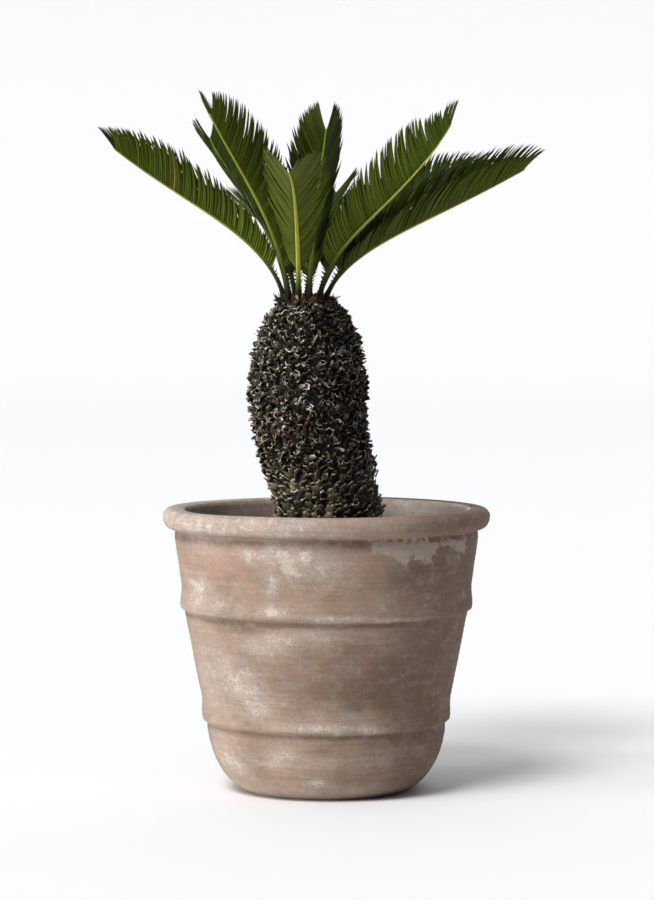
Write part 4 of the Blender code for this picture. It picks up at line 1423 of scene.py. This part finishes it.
        # Each frond's green is scaled by its lightness: painted light above 1, painted shade below 1.
        green = green * self.painted_light_level * np.array([[1 + 0.5 * self.yellow, 1 + 0.25 * self.yellow, 1.0]])
        green = green * (1 + draws.normal(0, 0.05, (count, 1)) * np.array([[1.0, 0.2, -0.4]]))
        top = np.array(linear(self.above)) * green
        under = np.array(linear(self.below)) * green
        if self.dead >= 0:
            dead = (number == self.dead) & (side < 0)
            top[dead] = under[dead] = linear(self.dead_brown)
        tips_brown = np.array(linear(self.tip_brown))
        step = (length / self.stations)[:, None]
        for station in range(self.stations):
            at = station / self.stations
            angle = (spread - bend * at ** 1.3)[:, None]
            raised = (lift + math.radians(9) * at)[:, None]
            way = np.cos(angle) * along + np.sin(angle) * (np.cos(raised) * out + np.sin(raised) * up)
            broad = unit(along - way * np.sum(along * way, -1, keepdims=True))
            flat = np.cross(way, broad)
            flat *= np.sign(np.sum(flat * up, -1, keepdims=True))
            turn = slant[:, None]
            broad, flat = (np.cos(turn) * broad + np.sin(turn) * flat,
                           np.cos(turn) * flat - np.sin(turn) * broad)
            shape = min(1.0, 0.72 + at * 2.6) * (1 - max(0.0, (at - 0.50) / 0.54) ** 1.7)
            half = (width / 2 * shape)[:, None]
            thick = self.leaflet_thick * (0.6 + 0.4 * shape)
            old = ease((at - 0.86) / 0.14) * 0.4
            for corner, (across, rise, light) in enumerate(profile):
                rings[:, station, corner] = place + half * across * broad + thick * rise * flat
                shade = (under if rise < -0.35 else top) * light
                tints[:, station, corner] = blend(shade, tips_brown, old)
            place = place + way * step
        sheaf.add_sweeps(rings, place, np.clip(tints, 0, 1))

    def build_spines(self, sheaf: Sheaf) -> None:
        """The short spines that leaflets shrink to, down both edges of the stalk."""
        draws = self.draws
        number = np.tile(np.arange(7), 2)
        side = np.repeat([1.0, -1.0], 7)
        share = blend(0.035, self.bare - 0.008, number / 6) + draws.normal(0, 0.002, 14)
        along, up = self.along(share), self.face(share)
        out = np.cross(along, up) * side[:, None]
        spread = np.radians(62)
        ways = unit(np.cos(spread) * along + np.sin(spread) * (0.8 * out + 0.6 * up))
        roots = self.point(share) + out * (self.half_width(share) * 0.8)[:, None]
        tint = np.tile(np.array(linear(self.petiole_green)), (14, 1))
        lengths = blend(0.002, 0.011, (number / 6) ** 1.8)
        Tongues(roots, ways, along, 0.1 * side, lengths, np.full(14, 0.0016), tint, 0.0010, 4, 1.1).add_to(sheaf)

    def build(self, leaf: bpy.types.Material) -> bpy.types.Object:
        """Makes the whole frond as one piece."""
        sheaf = Sheaf()
        self.build_rib(sheaf)
        self.build_leaflets(sheaf)
        self.build_spines(sheaf)
        return hand_over(sheaf.build(self.name + "_blade", leaf), "leaf", self.name)


FRONDS = (
    Frond("frond_left", 194, 190, 78.4, 26.6, 0.281, 37.5, 4.3, 59, -13, 6, 0.60, painted_light_level=1.1, dead=45),
    Frond("frond_upper_left", 224.3, 221.8, 81.3, 35.5, 0.263, 26.4, 2.1, 60, -4),
    Frond("frond_front", 268.4, 252.7, 70.3, 6, 0.280, -1, 1.6, 47, -2, 0, 0.28, painted_light_level=0.95, yellow=0.4, ripens=0.16),
    Frond("frond_front_tall", 286, 282.8, 86, 58, 0.200, -4, 2.0, 54, 0, 0, 0.36, painted_light_level=0.66, full=1.5),
    Frond("frond_upper_right", -24.9, -44.8, 87, 33.1, 0.290, -43.5, 5.7, 52, 0, 32),
    Frond("frond_right", -5.6, -14.1, 72.8, 23.1, 0.281, -35.5, 5.5, 57, 26, 0, 0.46, 9, 1.12, 0.8),
    Frond("frond_far_right", 24, 22, 62, 11, 0.268, 17, 1.3),
    Frond("frond_back_right", 50, 54, 60, 2, 0.265, 8, 1.5),
    Frond("frond_back", 80, 85, 66, 6, 0.262, 2, 1.6),
    Frond("frond_rear_left", 108, 116, 60, -2, 0.255, -2, 1.5),
    Frond("frond_back_left", 143, 146, 84, 32, 0.260, -36, 2.6),
)


@dataclass
class Studio:
    """The pale paper sweep, the soft lights and the camera."""

    camera_away: float = 4.0
    camera_height: float = 0.60
    aim_height: float = 0.375
    lens_mm: float = 145.56
    sensor_mm: float = 36.0
    side_shift: float = 0.0006

    def build_sweep(self) -> None:
        """A floor that curves up into a wall far behind."""
        rows = [(-30.0, 0.0)] + [(y, 0.0) for y in (-4.0, 0.0, 5.0, 9.0)]
        rows += [(9.0 + 3.0 * math.sin(turn), 3.0 * (1 - math.cos(turn)))
                 for turn in np.radians(np.linspace(10, 90, 9))]
        rows.append((12.0, 12.0))
        points = [(x, y, z) for y, z in rows for x in (-40.0, 40.0)]
        faces = [(2 * n, 2 * n + 1, 2 * n + 3, 2 * n + 2) for n in range(len(rows) - 1)]
        mesh = bpy.data.meshes.new("paper_sweep")
        mesh.from_pydata(points, [], faces)
        mesh.shade_smooth()
        place_piece("paper_sweep", mesh, StudioPaper().make())

    def add_sun(self, name: str, turn: float, height: float, spread: float, strength: float) -> None:
        """A distant soft light.

        Args:
            name: its name.
            turn: where it stands, in degrees from -X towards -Y.
            height: degrees above the horizon.
            spread: how wide it looks, in degrees.
            strength: watts for each square metre.
        """
        lamp = bpy.data.lights.new(name, "SUN")
        lamp.energy, lamp.angle = strength, math.radians(spread)
        lamp.color = (0.97, 0.985, 1.0)
        thing = bpy.data.objects.new(name, lamp)
        turn, height = math.radians(turn), math.radians(height)
        toward = Vector((-math.cos(turn) * math.cos(height), -math.sin(turn) * math.cos(height),
                         math.sin(height)))
        thing.rotation_euler = toward.to_track_quat("Z", "Y").to_euler()
        bpy.context.scene.collection.objects.link(thing)

    def build_lights(self) -> None:
        """Soft light from the left, a weaker one from the front left, and an even glow."""
        self.add_sun("left_softbox", 18, 2, 32, 4.6)
        self.add_sun("front_left_softbox", 60, 52, 22, 2.25)
        self.add_sun("overhead_softbox", 40, 84, 80, 0.80)
        world = bpy.data.worlds.new("studio")
        world.use_nodes = True
        glow = world.node_tree.nodes["Background"]
        glow.inputs["Color"].default_value = (0.97, 0.985, 1.0, 1.0)
        glow.inputs["Strength"].default_value = 0.10
        bpy.context.scene.world = world
        bpy.context.scene.view_settings.view_transform = "Standard"

    def build_camera(self) -> None:
        """The camera, level with the pot's rim and a little above, looking slightly down."""
        lens = bpy.data.cameras.new("camera")
        lens.lens, lens.sensor_width = self.lens_mm, self.sensor_mm
        lens.shift_x = self.side_shift
        lens.clip_end = 60
        thing = bpy.data.objects.new("camera", lens)
        thing.location = (0.0, -self.camera_away, self.camera_height)
        drop = math.atan2(self.camera_height - self.aim_height, self.camera_away)
        thing.rotation_euler = (math.pi / 2 - drop, 0.0, 0.0)
        bpy.context.scene.collection.objects.link(thing)
        bpy.context.scene.camera = thing

    def build(self) -> None:
        """Sets up the whole studio."""
        self.build_camera()
        self.build_sweep()
        self.build_lights()


def main() -> None:
    """Builds every piece in order."""
    logging.basicConfig(level=logging.INFO, format="%(message)s")
    Studio().build()
    ClayPot().build()
    PottingSoil().build()
    Trunk().build()
    CrownBud().build()
    leaf = LeatheryLeaf().make()
    for frond in FRONDS:
        frond.build(leaf)


if __name__ == "__main__":
    main()
